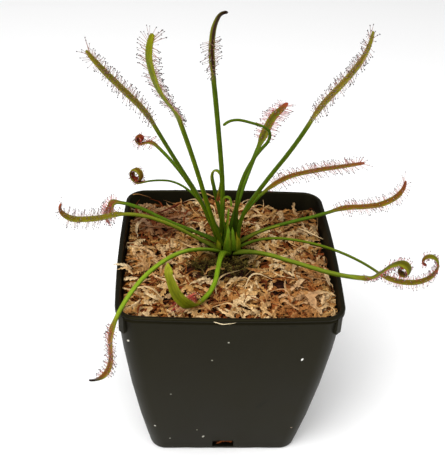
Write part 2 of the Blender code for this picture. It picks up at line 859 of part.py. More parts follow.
def make_leaves(part, helpers):
    """A leaf whose blade is missing, or no wider than a tip, has no tentacles."""
    mesh = tentacle_mesh()
    draw = random.Random(TENTACLE_SEED)
    for name, leaf in LEAVES.items():
        finish = material(f"sundew {name}", leaf.colour, 0.5, 0.1)
        body = add_object(name, leaf_body(leaf), part, finish)
        if leaf.width > TIP_WIDTH:
            add_tentacles(leaf, mesh, helpers, draw)
            apply_boolean(body, "UNION", helpers)


def main():
    part, helpers = set_scene()
    make_pot(part, helpers)
    make_bed(part, helpers)
    make_cushion(part, helpers)
    make_crown(part)
    make_leaves(part, helpers)


main()
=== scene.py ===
"""The looks of the potted cape sundew: black nursery pot, dried sphagnum and sticky leaves.

Metres, +Z up, except where a comment says millimetres. The origin is the middle of the pot's
underside, +Y points to its back, and headings are degrees anticlockwise from +X, from above.
"""

import json
import math
import random

from typing import NamedTuple

import bmesh
import bpy
from mathutils import Matrix, Vector, noise

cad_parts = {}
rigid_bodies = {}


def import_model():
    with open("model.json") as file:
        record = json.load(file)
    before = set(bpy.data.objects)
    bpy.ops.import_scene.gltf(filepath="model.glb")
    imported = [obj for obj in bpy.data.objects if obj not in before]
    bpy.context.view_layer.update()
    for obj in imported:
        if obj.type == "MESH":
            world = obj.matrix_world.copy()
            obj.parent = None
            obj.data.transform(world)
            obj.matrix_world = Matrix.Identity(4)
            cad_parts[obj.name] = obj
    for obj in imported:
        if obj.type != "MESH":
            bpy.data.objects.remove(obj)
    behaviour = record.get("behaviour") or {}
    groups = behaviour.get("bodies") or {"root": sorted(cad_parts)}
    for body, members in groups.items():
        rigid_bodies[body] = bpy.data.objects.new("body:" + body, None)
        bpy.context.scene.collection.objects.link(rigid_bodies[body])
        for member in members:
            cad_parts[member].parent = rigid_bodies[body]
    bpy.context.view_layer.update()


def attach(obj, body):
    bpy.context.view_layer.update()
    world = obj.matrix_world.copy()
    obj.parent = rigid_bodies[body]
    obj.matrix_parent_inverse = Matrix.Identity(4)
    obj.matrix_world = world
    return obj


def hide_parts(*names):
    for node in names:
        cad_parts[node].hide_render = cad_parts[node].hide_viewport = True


MM = 0.001
UP = Vector((0, 0, 1))
SMOOTH_ANGLE = math.radians(40)

# Camera, fitted to the pot's corners: place in metres, degrees, and its focal length in picture pixels
CAMERA_PLACE = Vector((-0.01566, -0.24345, 0.25649))
CAMERA_DOWN = 35.6
CAMERA_TURN = -3.2
CAMERA_ROLL = 2.5
FOCAL_PIXELS = 850
PICTURE_PIXELS = 465
SENSOR_MM = 36

# Nursery pot: a thin moulded square pot, 3 inches across the rim and 3 inches tall
POT_RIM_SIDE = 76 * MM
POT_MOUTH_SIDE = 75 * MM
POT_BASE_SIDE = 55 * MM
# Extra width halfway up, where the walls bulge a little
POT_BULGE = 2.5 * MM
POT_HEIGHT = 75 * MM
POT_WALL = 1.0 * MM
POT_FLOOR = 2.0 * MM
RIM_BAND = 2.0 * MM
RIM_RADIUS = 7 * MM
BASE_RADIUS = 6 * MM
SIDE_BOW = 0.8 * MM
EDGE_ROUND = 0.6 * MM
SLOT_SIZE = (8 * MM, 4 * MM)
SLOT_SILL = 1.7 * MM
SLOT_CUT = 8 * MM
SCALLOP_RISE = 0.8 * MM
SCALLOP_RADIUS = 20 * MM
SCALLOP_OFFSET = 13.5 * MM
SCALLOP_CUT = 4 * MM
SCALLOP_SIDES = 160
LUG_SIZE = (2.4 * MM, 1.4 * MM, 7 * MM)
CORNER_STEPS = 12
SIDE_STEPS = 12
LIP_STEPS = 4
# How far the lip's lower edge is drawn in, as a share of its fall
LIP_UNDERCUT = 0.6

# Sphagnum bed: one plug of dried moss that fills the pot
GAP = 0.3 * MM
BED_HEIGHT = 70.4 * MM
BED_RELIEF = 0.9 * MM
RELIEF_PER_METRE = 190
# A mound or a hollow, in millimetres: centre x, centre y, radius, rise
BED_MOUNDS = (
    (1, 30, 11, 2.6),
    (-32, -6, 9, 2.2),
    (26, 32, 14, -3.2),
    (-27, 33, 12, -1.8),
    (33, 8, 13, -1.6),
    (20, -22, 12, 1.2),
)
BED_RINGS = 40
LITTER_SUNK = 1.1 * MM
LITTER_RELIEF = 0.8 * MM
LITTER_PER_METRE = 430
CLUMPS_PER_METRE = 150
# How thickly strands lie: none up to this far from the crown, thin on the live moss, by the wall and
# between clumps
COVER_START = 4 * MM
COVER_FADE = 7 * MM
COVER_ON_CUSHION = 0.25
COVER_BY_WALL = 0.3
COVER_BETWEEN_CLUMPS = 0.25
CLUMP_SPREAD = (0.6, 1.8)
# The moss shrinks back from the wall
WALL_GAP_DEPTH = 1.6 * MM
WALL_GAP_WIDTH = 3 * MM

# Live moss: a low green cushion at the front of the crown
CUSHION_CENTRE = (-2.5 * MM, -6.8 * MM)
CUSHION_RADII = (13 * MM, 5.4 * MM)
CUSHION_RISE = 1.7 * MM
CUSHION_SEAT = 0.8 * MM
CUSHION_GAP = 0.5 * MM
CUSHION_EDGE = 0.05
CUSHION_SIDES = 40
CUSHION_UNDER = (0.3, 0.6, 1.0)
CUSHION_OVER = (0.97, 0.9, 0.8, 0.65, 0.5, 0.35, 0.2, 0.08)
CUSHION_FADE = (1.1, 1.6)
CUSHION_SUNK = 0.9 * MM
# Shares of its radii between which strands grow thicker outwards
CUSHION_THIN = (0.7, 1.2)

# Crown: height over its foot and radius, in millimetres, from the growing tip to the root's end
CROWN = Vector((0.5 * MM, 4 * MM, 71.5 * MM))
CROWN_PROFILE = (
    (8.4, 0.0), (8.0, 0.6), (6.0, 1.5), (4.0, 2.3), (2.0, 3.0), (0.0, 3.4),
    (-4.0, 2.3), (-16.0, 1.6), (-18.0, 0.0),
)
CROWN_STEPS = 24
HOLE_TOP_RADIUS = 4.0 * MM
HOLE_RADIUS = 2.8 * MM
HOLE_NECK = 5 * MM
HOLE_DEPTH = 20 * MM

# Leaves, in millimetres: a flattened stalk that widens into a strap blade
STALK_WIDTH = 1.9
STALK_THICK = 1.7
STALK_TAPER = 0.12
BARE_TAPER = 0.3
SHEATH_WIDTH = 3.5
SHEATH_LENGTH = 10
BLADE_THICK = 0.9
BLADE_FLARE = 5
TIP_WIDTH = 1.3
TIP_SHARE = 0.3
SEAT_GAP = 0.45
PATH_STEP = 0.25
STALK_STATION = 1.0
BLADE_STATION = 0.5
ROLL_STATION = 0.25
LEAF_CORNERS = 14
STALK_CHANNEL = 0.35
BLADE_CHANNEL = 0.5
# The rounded end: distance past the last station and share of its width
TIP_CAP = ((0.3, 0.8), (0.5, 0.4))
# Leaves, in millimetres: how far tints reach along a leaf, painted shade on the stalk's edges and foot, the
# margin's tint
BLUSH_LENGTH = 9
END_LENGTH = 7
STALK_EDGE_SHADE_TINT = "1C2C04"
STALK_EDGE_SHADE = 0.4
FOOT_SHADE_TINT = "142204"
FOOT_SHADE = 0.6
FOOT_LENGTH = 16.0
MARGIN_TINT = "74761A"
MARGIN_BLUSH = 0.8

# Tentacles, in millimetres: red hairs, longest at the blade's margin, each with a gland in a drop
MARGIN_LENGTH = 4.3
FACE_LENGTH = 1.8
ROLLED_SHARE = 0.55
TIP_FAN = 4.0
FAN_REACH = 1.25
FAN_LEAN = 1.2
# How upright they stand in the middle of the face and at its margin, and how far they lean to the side
FACE_UPRIGHT = (1.0, -0.15)
ROLLED_UPRIGHT = (0.5, -0.35)
MARGIN_LEAN = 1.1
# They grow longer over the first stretch of the blade
FIRST_REACH = 0.6
REACH_LENGTH = 8
# The back of the blade has none below this share of its depth, and the middle of the face has few
BARE_BACK = -0.25
FACE_COVER = 0.15
# Random shares of a tentacle's length and thickness
HAIR_LENGTHS = (0.75, 1.15)
HAIR_WIDTHS = (0.8, 1.25)

# Share of the length and radius: foot, stalk, neck, gland
TENTACLE_RINGS = ((0.0, 0.09), (0.3, 0.07), (0.65, 0.06), (0.87, 0.05), (0.905, 0.13), (0.955, 0.14))
TENTACLE_SIDES = 4
TENTACLE_BEND = 0.25
DROP_RADIUS = 0.18
DROP_SIDES = 6


class Leaf(NamedTuple):
    """Lengths in mm, angles in degrees; each list is at even steps from base to tip."""

    seat: tuple  # heading round the crown, height on it
    headings: tuple  # compass direction along the leaf
    stalk: float  # length of the bare stalk
    stalk_lifts: tuple  # its angle above the horizontal
    blade: float  # length of the sticky blade up to its rolled tip
    blade_lifts: tuple
    curl: tuple = (0, 1, 1)  # rolled tip: angle turned, first radius, last radius
    width: float = 4.0
    roll: float = 0.0  # turn of the sticky face about the blade's length
    stout: float = 0.8  # share of the full stalk's width and thickness
    tip: float = TIP_WIDTH  # width of the blade's end
    reach: float = 1.0  # share of the tentacles' full length
    bare_end: float = 0.0  # length at the tip without tentacles
    hairs: str = "crimson"
    tints: str = "upright"


LEAVES = {
    "leaf_far_left": Leaf(
        (188, 3.2), (178,), 52.5, (76, 60, 62), 32.5, (46, 47, 54), roll=-6, stout=0.92, tip=1.8, reach=0.85,
        hairs="dusky", tints="olive"
    ),
    "leaf_upper_left": Leaf(
        (222, 4.4), (215,), 57, (69, 73, 70), 34, (51, 67, 79, 116), stout=1, tip=2.2, hairs="dusky",
        tints="green"
    ),
    "leaf_tall_centre": Leaf(
        (194, 6.3), (190,), 62.5, (92, 84, 83), 20, (82, 90, 96, 118), (74, 3.0, 1.9), 3.0, roll=-48,
        stout=1.15, reach=0.9, bare_end=10, hairs="dusky", tints="maroon"
    ),
    "leaf_bent_bare": Leaf(
        (27, 6.2), (32,), 37, (90, 90, 64, 34), 27, (84, 134, 151, 152, 153, 157, 175, 209), width=0,
        stout=0.85
    ),
    "leaf_fringed_back": Leaf(
        (72, 5.2), (58,), 34, (79, 53, 43), 23, (38, 0, 7), width=3.2, stout=0.9, reach=0.75, tints="copper"
    ),
    "leaf_upper_right": Leaf(
        (-22, 4.0), (-6,), 56, (96, 62, 59, 66), 35.5, (53, 60, 87), roll=8, stout=1.0, tip=1.8, reach=0.8,
        hairs="dusky"
    ),
    "leaf_back_right": Leaf(
        (40, 3.0), (22,), 23, (95, 54, 34), 40.5, (0, -4, -3), width=2.6, stout=0.75, reach=0.95,
        hairs="russet", tints="amber"
    ),
    "leaf_right": Leaf(
        (30, 1.0), (10,), 37.5, (40, 15, 9, 16), 31.5, (-5, 3, 35, 95), width=3.1, reach=0.75, hairs="russet",
        tints="amber"
    ),
    "leaf_hooked_right": Leaf(
        (-20, 2.0), (-12,), 54, (41, 2, -15, -33), 27, (-10, 15, 54, 108), (237, 3.1, 1.4), 3.0, stout=0.6,
        reach=0.6, tints="russet"
    ),
    "leaf_spiral_right": Leaf(
        (-54, 1.1), (-33,), 50, (30, 5, 5, 19), 15.5, (51, 58, 32), (-400, 2.6, 0.7), 3.8, 180, stout=0.95,
        reach=0.6, tints="spiral"
    ),
    "leaf_front_folded": Leaf(
        (-100, 1.4), (-117, -104, -98, -112, -134, -153, -193, -226), 32.5, (49, -17, -3, 0), 22.5,
        (47, 57, 73, 68, 122), width=3.9, roll=80, stout=0.95, tip=3.9, bare_end=13.5, tints="fresh"
    ),
    "leaf_over_rim": Leaf(
        (-134, 1.2), (-130,), 61, (38, 24, -8, -54), 28, (-77, -91, -90, -54, 21, 41), width=3.2, roll=25,
        stout=0.85, reach=0.6, bare_end=5, hairs="russet", tints="hanging"
    ),
    "leaf_left_folded": Leaf(
        (156, 2.2), (164,), 40, (20, 12, 22, -3), 12.5, (-83, -52, -153), roll=-50, reach=0.75, tints="rosy"
    ),
    "leaf_left_low": Leaf(
        (184, 1.0), (175,), 36.5, (26, 30, 19, -5), 22.5, (-22, -10, -5, 44), (81, 4.0, 2.5), 3.6,
        hairs="dusky", tints="low"
    ),
    "leaf_snail": Leaf(
        (122, 3.0), (142,), 44.2, (15, 66, 18, -19, -30), 4, (-30, -5), (410, 2.9, 1.7), 2.8, stout=0.5,
        reach=0.35, tints="snail"
    ),
    "leaf_knob": Leaf(
        (142, 4.6), (152,), 40.5, (53, 53, 33), 5.5, (-8, -40), (357, 1.9, 0.7), 2.6, stout=0.75, reach=1.25,
        tints="rosy"
    ),
    "leaf_young_loop": Leaf(
        (140, 6.6), (140,), 20.5, (84, 69, 72, 73), 19.5, (97, 133, 205, 265, 279, 280, 280, 278, 276),
        width=1.3, stout=0.82, tints="young"
    ),
    "leaf_bud_loop": Leaf(
        (256, 5.0), (352,), 18.5, (100, 100, 84), 6, (18, -57, -82, -90), width=1.2, stout=0.6, tints="heart"
    ),
    "leaf_stub": Leaf((9, 2.8), (11,), 14, (31, 22, 13), 2, (9, 7), width=0, stout=0.7, tints="low"),
}

# Young leaves at the heart, with no sticky blade yet
HEART_LEAVES = (
    Leaf((232, 5.6), (200,), 6, (99, 96), 7, (93, 90), width=1.3, stout=0.8, tip=0.3, tints="heart"),
    Leaf((262, 1.6), (262,), 5, (84, 96), 5.5, (102, 106), width=1.3, stout=0.95, tip=0.3, tints="heart"),
    Leaf((292, 2.6), (292,), 3.5, (92, 98), 5, (104, 108), width=1.3, stout=0.85, tip=0.3, tints="heart"),
    Leaf((322, 1.8), (322,), 3, (86, 96), 4, (106, 110), width=1.3, stout=0.9, tip=0.3, tints="olive"),
    Leaf((215, 1.8), (210,), 3, (84, 94), 4, (104, 108), width=1.3, stout=0.9, tip=0.3, tints="olive"),
)

# Tints of a leaf: stalk above and below, blade's sticky face and back, and its end; the stalk's two tints are
# partly its own colour and partly painted light and shade, lighter above on low leaves lit from above and
# darker above on upright ones
TINTS = {
    "upright": ("40540A", "4D5F06", "665414", "6A6C12", "6A6410"),
    "olive": ("40540A", "4D5F06", "625414", "64680E", "6E6410"),
    "green": ("40540A", "4D5F06", "6A5A14", "5A6008", "666608"),
    "maroon": ("40540A", "4B5F06", "301606", "4A4C0A", "200A02"),
    "copper": ("48620E", "526A09", "4E4A10", "5A4A0E", "8A3C24"),
    "amber": ("465F10", "3F5207", "6E4614", "6A5E10", "7A3A1C"),
    "russet": ("54640E", "465808", "625014", "5A580E", "6A2814"),
    "snail": ("465C0A", "3E5406", "5E2010", "5E480E", "6A2814"),
    "fresh": ("688216", "667E0E", "7A1C14", "5C600C", "7C7E1C"),
    "hanging": ("728A1E", "54680C", "6E4018", "5A500C", "180604"),
    "rosy": ("4A640E", "4C600A", "6E3420", "56540E", "6E1C14"),
    "heart": ("425A0C", "475F0A", "486210", "465E0C", "587216"),
    "young": ("3A500A", "465A06", "4A6410", "4C640C", "7A3A1E"),
    "low": ("6C741C", "566009", "6A5E12", "625E10", "7E3A1E"),
    "spiral": ("66741C", "546409", "6A4A14", "504C0A", "4A3A10"),
}


class Station(NamedTuple):
    """A place on a leaf: distance from its base, point, direction, sticky face and side."""

    s: float
    point: Vector
    along: Vector
    face: Vector
    side: Vector


# Studio: soft lights, each with its place, side in metres and watts
LIGHTS = {
    "overhead_softbox": ((-0.15, -0.25, 0.75), 0.6, 6.0),
    "front_left_softbox": ((-0.6, -0.55, 0.45), 0.5, 3.0),
    "right_softbox": ((0.7, -0.1, 0.4), 0.5, 1.5),
}
WORLD_LIGHT = 0.48
FLOOR_SIDE = 6.0

PLASTIC_SHEEN = "FFF4A4"
# Specks and scuffs on the front wall, in millimetres: place, half sizes, turn in degrees, colour
SCUFFS = (
    ((-33.7, -36.5, 62.7), (0.5, 4, 0.9), 30, "D8D4C8"),
    ((-0.5, -37, 64), (0.4, 4, 0.4), 0, "A8A698"),
    ((-5.7, -36, 55), (0.4, 4, 0.4), 0, "8A887A"),
    ((24.8, -36, 55.2), (0.45, 4, 0.85), 20, "F0EEE6"),
    ((-19.6, -34, 36), (0.4, 4, 0.4), 0, "86847A"),
    ((-25.5, -30.5, 15.9), (0.5, 4, 0.45), 40, "D0CCC0"),
    ((25, -30.5, 14.7), (0.5, 4, 0.3), 0, "A8907E"),
    ((-20, -29, 7.5), (0.4, 4, 0.4), 0, "9A988C"),
    ((-7.6, -29, 8.8), (0.5, 4, 0.9), 25, "B0ACA0"),
    ((-10, -30, 13.4), (0.35, 4, 0.35), 0, "8A8878"),
    ((12.9, -33, 30.2), (1.3, 4, 4.6), 36, "0A0906"),
    ((20.2, -38, 71.7), (2.3, 3, 0.4), 0, "050504"),
)


class Strand(NamedTuple):
    """A dry moss stem or leaf, in millimetres; its bow and arch are shares of its length."""

    length: float
    width: float
    thick: float
    bow: float
    arch: float
    twist: float = 0.0  # turns
    scales: float = 0.0  # how far its little leaves stand out, as a share of its width


STRANDS = {
    "leafy": (
        Strand(5.2, 1.4, 0.9, 0.12, 0.12, 0.2, 0.65),
        Strand(4.2, 1.7, 1.0, -0.16, 0.18, -0.1, 0.7),
        Strand(6.6, 1.15, 0.8, 0.2, 0.1, 0.4, 0.6),
        Strand(3.6, 1.5, 1.0, 0.05, 0.22, 0.1, 0.7),
        Strand(5.2, 1.15, 0.7, -0.25, 0.14, 0.5, 0.55),
    ),
    "stem": (
        Strand(12.0, 0.5, 0.4, 0.3, 0.10),
        Strand(9.0, 0.4, 0.35, -0.4, 0.18),
        Strand(7.0, 0.55, 0.4, 0.15, 0.08),
    ),
    "shred": (
        Strand(4.5, 1.2, 0.3, 0.2, 0.25, 0.4, 0.3),
        Strand(3.5, 1.0, 0.3, -0.2, 0.3, -0.4, 0.3),
        Strand(5.5, 0.8, 0.3, 0.3, 0.15, 0.7, 0.3),
    ),
}
STRAND_STEPS = 11
STRAND_WOBBLE = 0.35
# Least share of the width at a strand's ends, and how far its little leaves lean along it
STRAND_END = 0.06
LEAFLET_LEAN = 0.25

WALL_CLEAR = 0.25 * MM
WALL_CLIMB = 0.45

# Places where the dried moss takes another tint: centre x and y and radius, in millimetres, and its colour
MOSS_REGIONS = (
    ((-24, 26), 18, "5E1C08"),
    ((-26, 20), 14, "521A08"),
    ((30, -6), 14, "8E5A30"),
    ((22, -25), 15, "8A5024"),
    ((-28, -6), 12, "926030"),
    ((0, -3), 17, "463A0E"),
    ((0, -4), 13, "3A3008"),
    ((26, 26), 12, "7E5226"),
)

# Layers of strands, lowest first: kinds, spacing, heights, tilt, sizes, tints by tone
MOSS_LAYERS = {
    "moss_brown_strands": (
        ("leafy", "stem"), 1.5 * MM, (-0.3 * MM, 0.5 * MM), 0.45, (0.9, 1.3),
        ((0.0, "3E1407"), (0.5, "74340F"), (1.0, "9A6428")),
    ),
    "moss_tan_strands": (
        ("leafy", "shred"), 1.8 * MM, (0.3 * MM, 1.3 * MM), 0.5, (0.9, 1.35),
        ((0.0, "6E3410"), (0.35, "94602E"), (0.7, "B0844A"), (1.0, "C09C66")),
    ),
    "moss_pale_strands": (
        ("leafy", "leafy", "stem"), 2.3 * MM, (0.9 * MM, 2.0 * MM), 0.45, (0.9, 1.4),
        ((0.0, "8A562A"), (0.35, "B48A54"), (1.0, "D6BC90")),
    ),
}

# Loose strands: place in millimetres, heading and pitch in degrees, tone, shape
LOOSE_STRANDS = (
    ((-2.6, -38.9, 74.6), -14, 6, 1.0, Strand(8.0, 0.4, 0.3, -0.2, 0.05)),
    ((-36.6, -11.6, 75.6), 195, 25, 0.9, Strand(6.5, 2.0, 0.9, 0.1, 0.15, 0.2, 0.5)),
    ((-35.6, -14.5, 75.2), 170, 15, 0.7, Strand(5.5, 1.6, 0.8, -0.2, 0.2, 0.1, 0.5)),
    ((31.5, -27.0, 72.8), 70, 10, 0.75, Strand(10.0, 3.2, 0.7, 0.45, 0.2, 0.1, 0.2)),
    ((-32.0, 31.0, 72.0), 40, 20, 0.5, Strand(10.0, 0.6, 0.5, 0.5, 0.3)),
    ((-30.0, 27.0, 72.0), 120, 25, 0.1, Strand(12.0, 1.0, 0.7, 0.4, 0.2, 0.5)),
    ((-22.0, 30.0, 71.5), 20, 15, 0.05, Strand(13.0, 0.9, 0.6, -0.35, 0.25, 0.6)),
    ((-31.0, 14.0, 73.5), 60, 35, 0.85, Strand(8.0, 1.2, 0.6, 0.2, 0.2, 0.2, 0.4)),
    ((-5.0, -13.0, 74.5), 15, 8, 0.55, Strand(7.5, 1.7, 0.9, 0.2, 0.1, 0.2, 0.5)),
    ((9.0, -11.5, 74.6), -20, 5, 0.4, Strand(6.5, 1.5, 0.9, -0.2, 0.12, 0.1, 0.5)),
    ((34.0, -14.0, 74.0), 110, 40, 0.8, Strand(7.0, 1.5, 0.7, 0.1, 0.2, 0.2, 0.5)),
    ((0.5, -28.6, 4.6), 10, 0, 0.2, Strand(6.0, 1.2, 0.8, 0.1, 0.1, 0.2, 0.4)),
)

LOOSE_TINTS = ((0.0, "4A1A0A"), (0.3, "7A4018"), (0.6, "AE844E"), (1.0, "D8C6A0"))
LOOSE_SEED = 4

# Live moss shoots, in millimetres: height, leaves, their length and width, and their turn in degrees
SHOOT_HEIGHT = 2.6
SHOOT_LEAVES = 12
SHOOT_LEAF = (1.0, 0.45)
SHOOT_TURN = 137.5
# How they are strewn: spacing, heights, tilt, sizes and seed
SHOOTS = (0.85 * MM, (-0.9 * MM, 0.1 * MM), 0.5, (0.7, 1.1), 7)

# Patterns, in repeats to a metre: flow marks 22 mm across, moulding grain 0.7 mm, drifts of colour in the
# moss 6 mm, patches of tone 7 mm, fibres 0.9 mm and decayed clumps 1.4 mm. The real grain and fibres are
# too fine to show, so they are drawn this coarse.
FLOW_MARKS = 45.0
MOULDING_GRAIN = 1400.0
MOSS_DRIFTS = 160.0
MOSS_PATCHES = 150.0
MOSS_FIBRES = 1100.0
DECAYED_CLUMPS = 700.0
# Streaks drawn out along a leaf: the scale of its place across, along in millimetres, and up
LEAF_STREAKS = (1.6, 0.12, 1.2)

# Tints of a hair: foot, middle, neck and gland
HAIRS = {
    "crimson": ("8E4A34", "B43C36", "962C2C", "3A0A10"),
    "russet": ("A05C44", "A85C4E", "7C3834", "260C0E"),
    "dusky": ("A07C5C", "94706A", "6A4846", "1E0E10"),
}

# Hairs and drops that a geometry tree plants: spacing, sway and place of a drop along its hair
TENTACLE_SPACING = 0.33 * MM
TENTACLE_SWAY = 0.15
DROP_PLACE = 0.94
# Most points to a square metre before their spacing thins them out
HAIRS_DENSEST = 1e7
STRANDS_DENSEST = 2e6


def linear(hexa):
    """The linear colour of an sRGB hex value."""
    channels = [int(hexa[i : i + 2], 16) / 255 for i in (0, 2, 4)]
    return [c / 12.92 if c <= 0.04045 else ((c + 0.055) / 1.055) ** 2.4 for c in channels] + [1.0]


def add_node(tree, kind, inputs=(), **settings):
    """Adds a node; each input takes a value, a socket or a node's first output."""
    node = tree.nodes.new(kind)
    for name, value in settings.items():
        setattr(node, name, value)
    feed(tree, node, inputs)
    return node


def feed(tree, node, inputs):
    """Sets a node's inputs, each to a value, a socket or a node's first output."""
    for key, value in dict(inputs).items():
        if isinstance(value, bpy.types.Node):
            value = value.outputs[0]
        if isinstance(value, bpy.types.NodeSocket):
            tree.links.new(value, node.inputs[key])
        else:
            node.inputs[key].default_value = value


def set_stops(ramp, *stops):
    """Sets a colour ramp's stops, each a position and a hex colour."""
    elements = ramp.color_ramp.elements
    while len(elements) < len(stops):
        elements.new(1.0)
    for element, (position, hexa) in zip(elements, stops):
        element.position = position
        element.color = linear(hexa)
    return ramp


def spot(tree, place, centre, radii, turn=0.0):
    """1 at a place and 0 at its radii, in millimetres; it may be turned about the Y axis."""
    inputs = {
        "Vector": place,
        "Location": Vector(centre) * MM,
        "Rotation": (0, turn, 0),
        "Scale": Vector(radii) * MM,
    }
    moved = add_node(tree, "ShaderNodeMapping", inputs, vector_type="TEXTURE")
    ball = add_node(tree, "ShaderNodeTexGradient", {"Vector": moved}, gradient_type="SPHERICAL")
    return ball.outputs["Fac"]


def link_object(name, data):
    obj = bpy.data.objects.new(name, data)
    bpy.context.scene.collection.objects.link(obj)
    return obj


def keep(mesh, label, values, kind="FLOAT"):
    """Stores a number or a vector at each point of a mesh."""
    field = "value" if kind == "FLOAT" else "vector"
    mesh.attributes.new(label, kind, "POINT").data.foreach_set(field, values)


def ray(angle):
    """Level unit vector at an angle in radians."""
    return Vector((math.cos(angle), math.sin(angle), 0))


def start_material(name):
    made = bpy.data.materials.new(name)
    made.use_nodes = True
    tree = made.node_tree
    return made, tree, tree.nodes["Principled BSDF"]


def add_object(name, bm, finish=None):
    """An object in the scene from a bmesh, smooth apart from its sharp edges."""
    bmesh.ops.recalc_face_normals(bm, faces=bm.faces)
    mesh = bpy.data.meshes.new(name)
    bm.to_mesh(mesh)
    bm.free()
    mesh.shade_smooth()
    mesh.set_sharp_from_angle(angle=SMOOTH_ANGLE)
    if finish:
        mesh.materials.append(finish)
    return link_object(name, mesh)


def loft(rings, caps=(True, True)):
    """A skin over rings of points, capped at its first and last ring."""
    bm = bmesh.new()
    loops = [[bm.verts.new(point) for point in ring] for ring in rings]
    for low, high in zip(loops, loops[1:]):
        for i in range(len(low)):
            j = (i + 1) % len(low)
            bm.faces.new((low[i], low[j], high[j], high[i]))
    if caps[0]:
        bm.faces.new(loops[0][::-1])
    if caps[1]:
        bm.faces.new(loops[-1])
    return bm


def plain_mesh(obj):
    """The object's mesh as its modifiers leave it, which then takes their place."""
    graph = bpy.context.evaluated_depsgraph_get()
    mesh = bpy.data.meshes.new_from_object(
        obj.evaluated_get(graph), preserve_all_data_layers=True, depsgraph=graph
    )
    obj.modifiers.clear()
    obj.data = mesh
    return obj


def declare(piece, slot, *nodes):
    """Puts a finished piece on the root body and hides the solids that it stands for; the slot is not used.
    """
    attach(piece, "root")
    if nodes:
        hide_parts(*nodes)


def ease(value):
    value = min(max(value, 0.0), 1.0)
    return value * value * (3 - 2 * value)


def mix(a, b, share):
    return a + (b - a) * share


def make_camera():
    down, turn, roll = (math.radians(angle) for angle in (CAMERA_DOWN, CAMERA_TURN, CAMERA_ROLL))
    back = Vector((math.sin(turn) * math.cos(down), -math.cos(turn) * math.cos(down), math.sin(down)))
    right = ray(turn)
    up = back.cross(right)
    tilted_right = right * math.cos(roll) + up * math.sin(roll)
    tilted_up = up * math.cos(roll) - right * math.sin(roll)
    data = bpy.data.cameras.new("camera")
    data.sensor_width = SENSOR_MM
    data.lens = FOCAL_PIXELS / PICTURE_PIXELS * SENSOR_MM
    data.clip_start = 0.01
    camera = link_object("camera", data)
    axes = Matrix((tilted_right, tilted_up, back)).transposed().to_4x4()
    camera.matrix_world = Matrix.Translation(CAMERA_PLACE) @ axes
    bpy.context.scene.camera = camera


def make_studio():
    scene = bpy.context.scene
    scene.view_settings.view_transform = "Standard"
    world = bpy.data.worlds.new("studio")
    scene.world = world
    world.use_nodes = True
    lit = {"Color": linear("FFFFFF"), "Strength": WORLD_LIGHT}
    feed(world.node_tree, world.node_tree.nodes["Background"], lit)
    for name, (place, side, watts) in LIGHTS.items():
        data = bpy.data.lights.new(name, "AREA")
        data.size = side
        data.energy = watts
        light = link_object(name, data)
        aim = Vector((0, 0, POT_HEIGHT)) - Vector(place)
        light.matrix_world = Matrix.Translation(place) @ aim.to_track_quat("-Z", "Y").to_matrix().to_4x4()
    bm = bmesh.new()
    bmesh.ops.create_grid(bm, x_segments=1, y_segments=1, size=FLOOR_SIDE / 2)
    add_object("floor", bm, make_floor_paint())


def make_floor_paint():
    """Matt white paint: a plain pale ground with a soft shadow."""
    made, tree, shader = start_material("matt white paint")
    grain = add_node(tree, "ShaderNodeTexNoise", {"Scale": 3.0, "Detail": 2.0})
    tone = set_stops(add_node(tree, "ShaderNodeValToRGB", {"Fac": grain}), (0.3, "FAFAFA"), (0.7, "FDFDFD"))
    feed(tree, shader, {"Base Color": tone, "Roughness": 0.9})
    return made


def make_polypropylene():
    """Moulded black polypropylene: olive in the light, with a dull sheen and faint flow marks."""
    made, tree, shader = start_material("moulded black polypropylene")
    place = add_node(tree, "ShaderNodeTexCoord").outputs["Object"]
    clouds = add_node(tree, "ShaderNodeTexNoise", {"Vector": place, "Scale": FLOW_MARKS, "Detail": 3.0})
    grain = add_node(tree, "ShaderNodeTexNoise", {"Vector": place, "Scale": MOULDING_GRAIN, "Detail": 2.0})
    stops = ((0.3, "0E0C08"), (0.7, "14120B"))
    colour = set_stops(add_node(tree, "ShaderNodeValToRGB", {"Fac": clouds}), *stops)
    for centre, radii, turn, hexa in SCUFFS:
        near = spot(tree, place, centre, radii, math.radians(turn))
        worn = add_node(tree, "ShaderNodeMapRange", {"Value": near, "From Min": 0.1, "From Max": 0.45})
        layers = {0: worn, 6: colour, 7: linear(hexa)}
        colour = add_node(tree, "ShaderNodeMix", layers, data_type="RGBA").outputs[2]
    sheen = {"Value": clouds, "From Min": 0.3, "From Max": 0.7, "To Min": 0.4, "To Max": 0.5}
    relief = {"Strength": 0.12, "Distance": 0.05 * MM, "Height": grain}
    feed(tree, shader, {
        "Base Color": colour,
        "Roughness": add_node(tree, "ShaderNodeMapRange", sheen),
        "Specular IOR Level": 0.1,
        "Specular Tint": linear(PLASTIC_SHEEN),
        "Normal": add_node(tree, "ShaderNodeBump", relief),
    })
    return made


def pot_outline(side, radius, z, bow):
    """Points round a square with round corners, whose straight sides bow outwards."""
    inner = side / 2 - radius
    points = []
    for corner in range(4):
        turn = corner * math.pi / 2
        spin = Matrix.Rotation(turn, 3, "Z")
        for step in range(SIDE_STEPS):
            share = step / SIDE_STEPS * 2 - 1
            points.append(spin @ Vector((side / 2 + bow * (1 - share * share), inner * share, 0)))
        centre = spin @ Vector((inner, inner, 0))
        for step in range(CORNER_STEPS):
            points.append(centre + radius * ray(turn + step / CORNER_STEPS * math.pi / 2))
    return [Vector((p.x, p.y, z)) for p in points]


def pot_side(z):
    """Outer width of the pot's wall at a height."""
    share = z / POT_HEIGHT
    bulge = POT_BULGE * 4 * share * (1 - share)
    return POT_BASE_SIDE + (POT_MOUTH_SIDE - POT_BASE_SIDE) * share + bulge


def pot_radius(z):
    """Radius of the wall's corners at a height."""
    return BASE_RADIUS + (RIM_RADIUS - BASE_RADIUS) * z / POT_HEIGHT


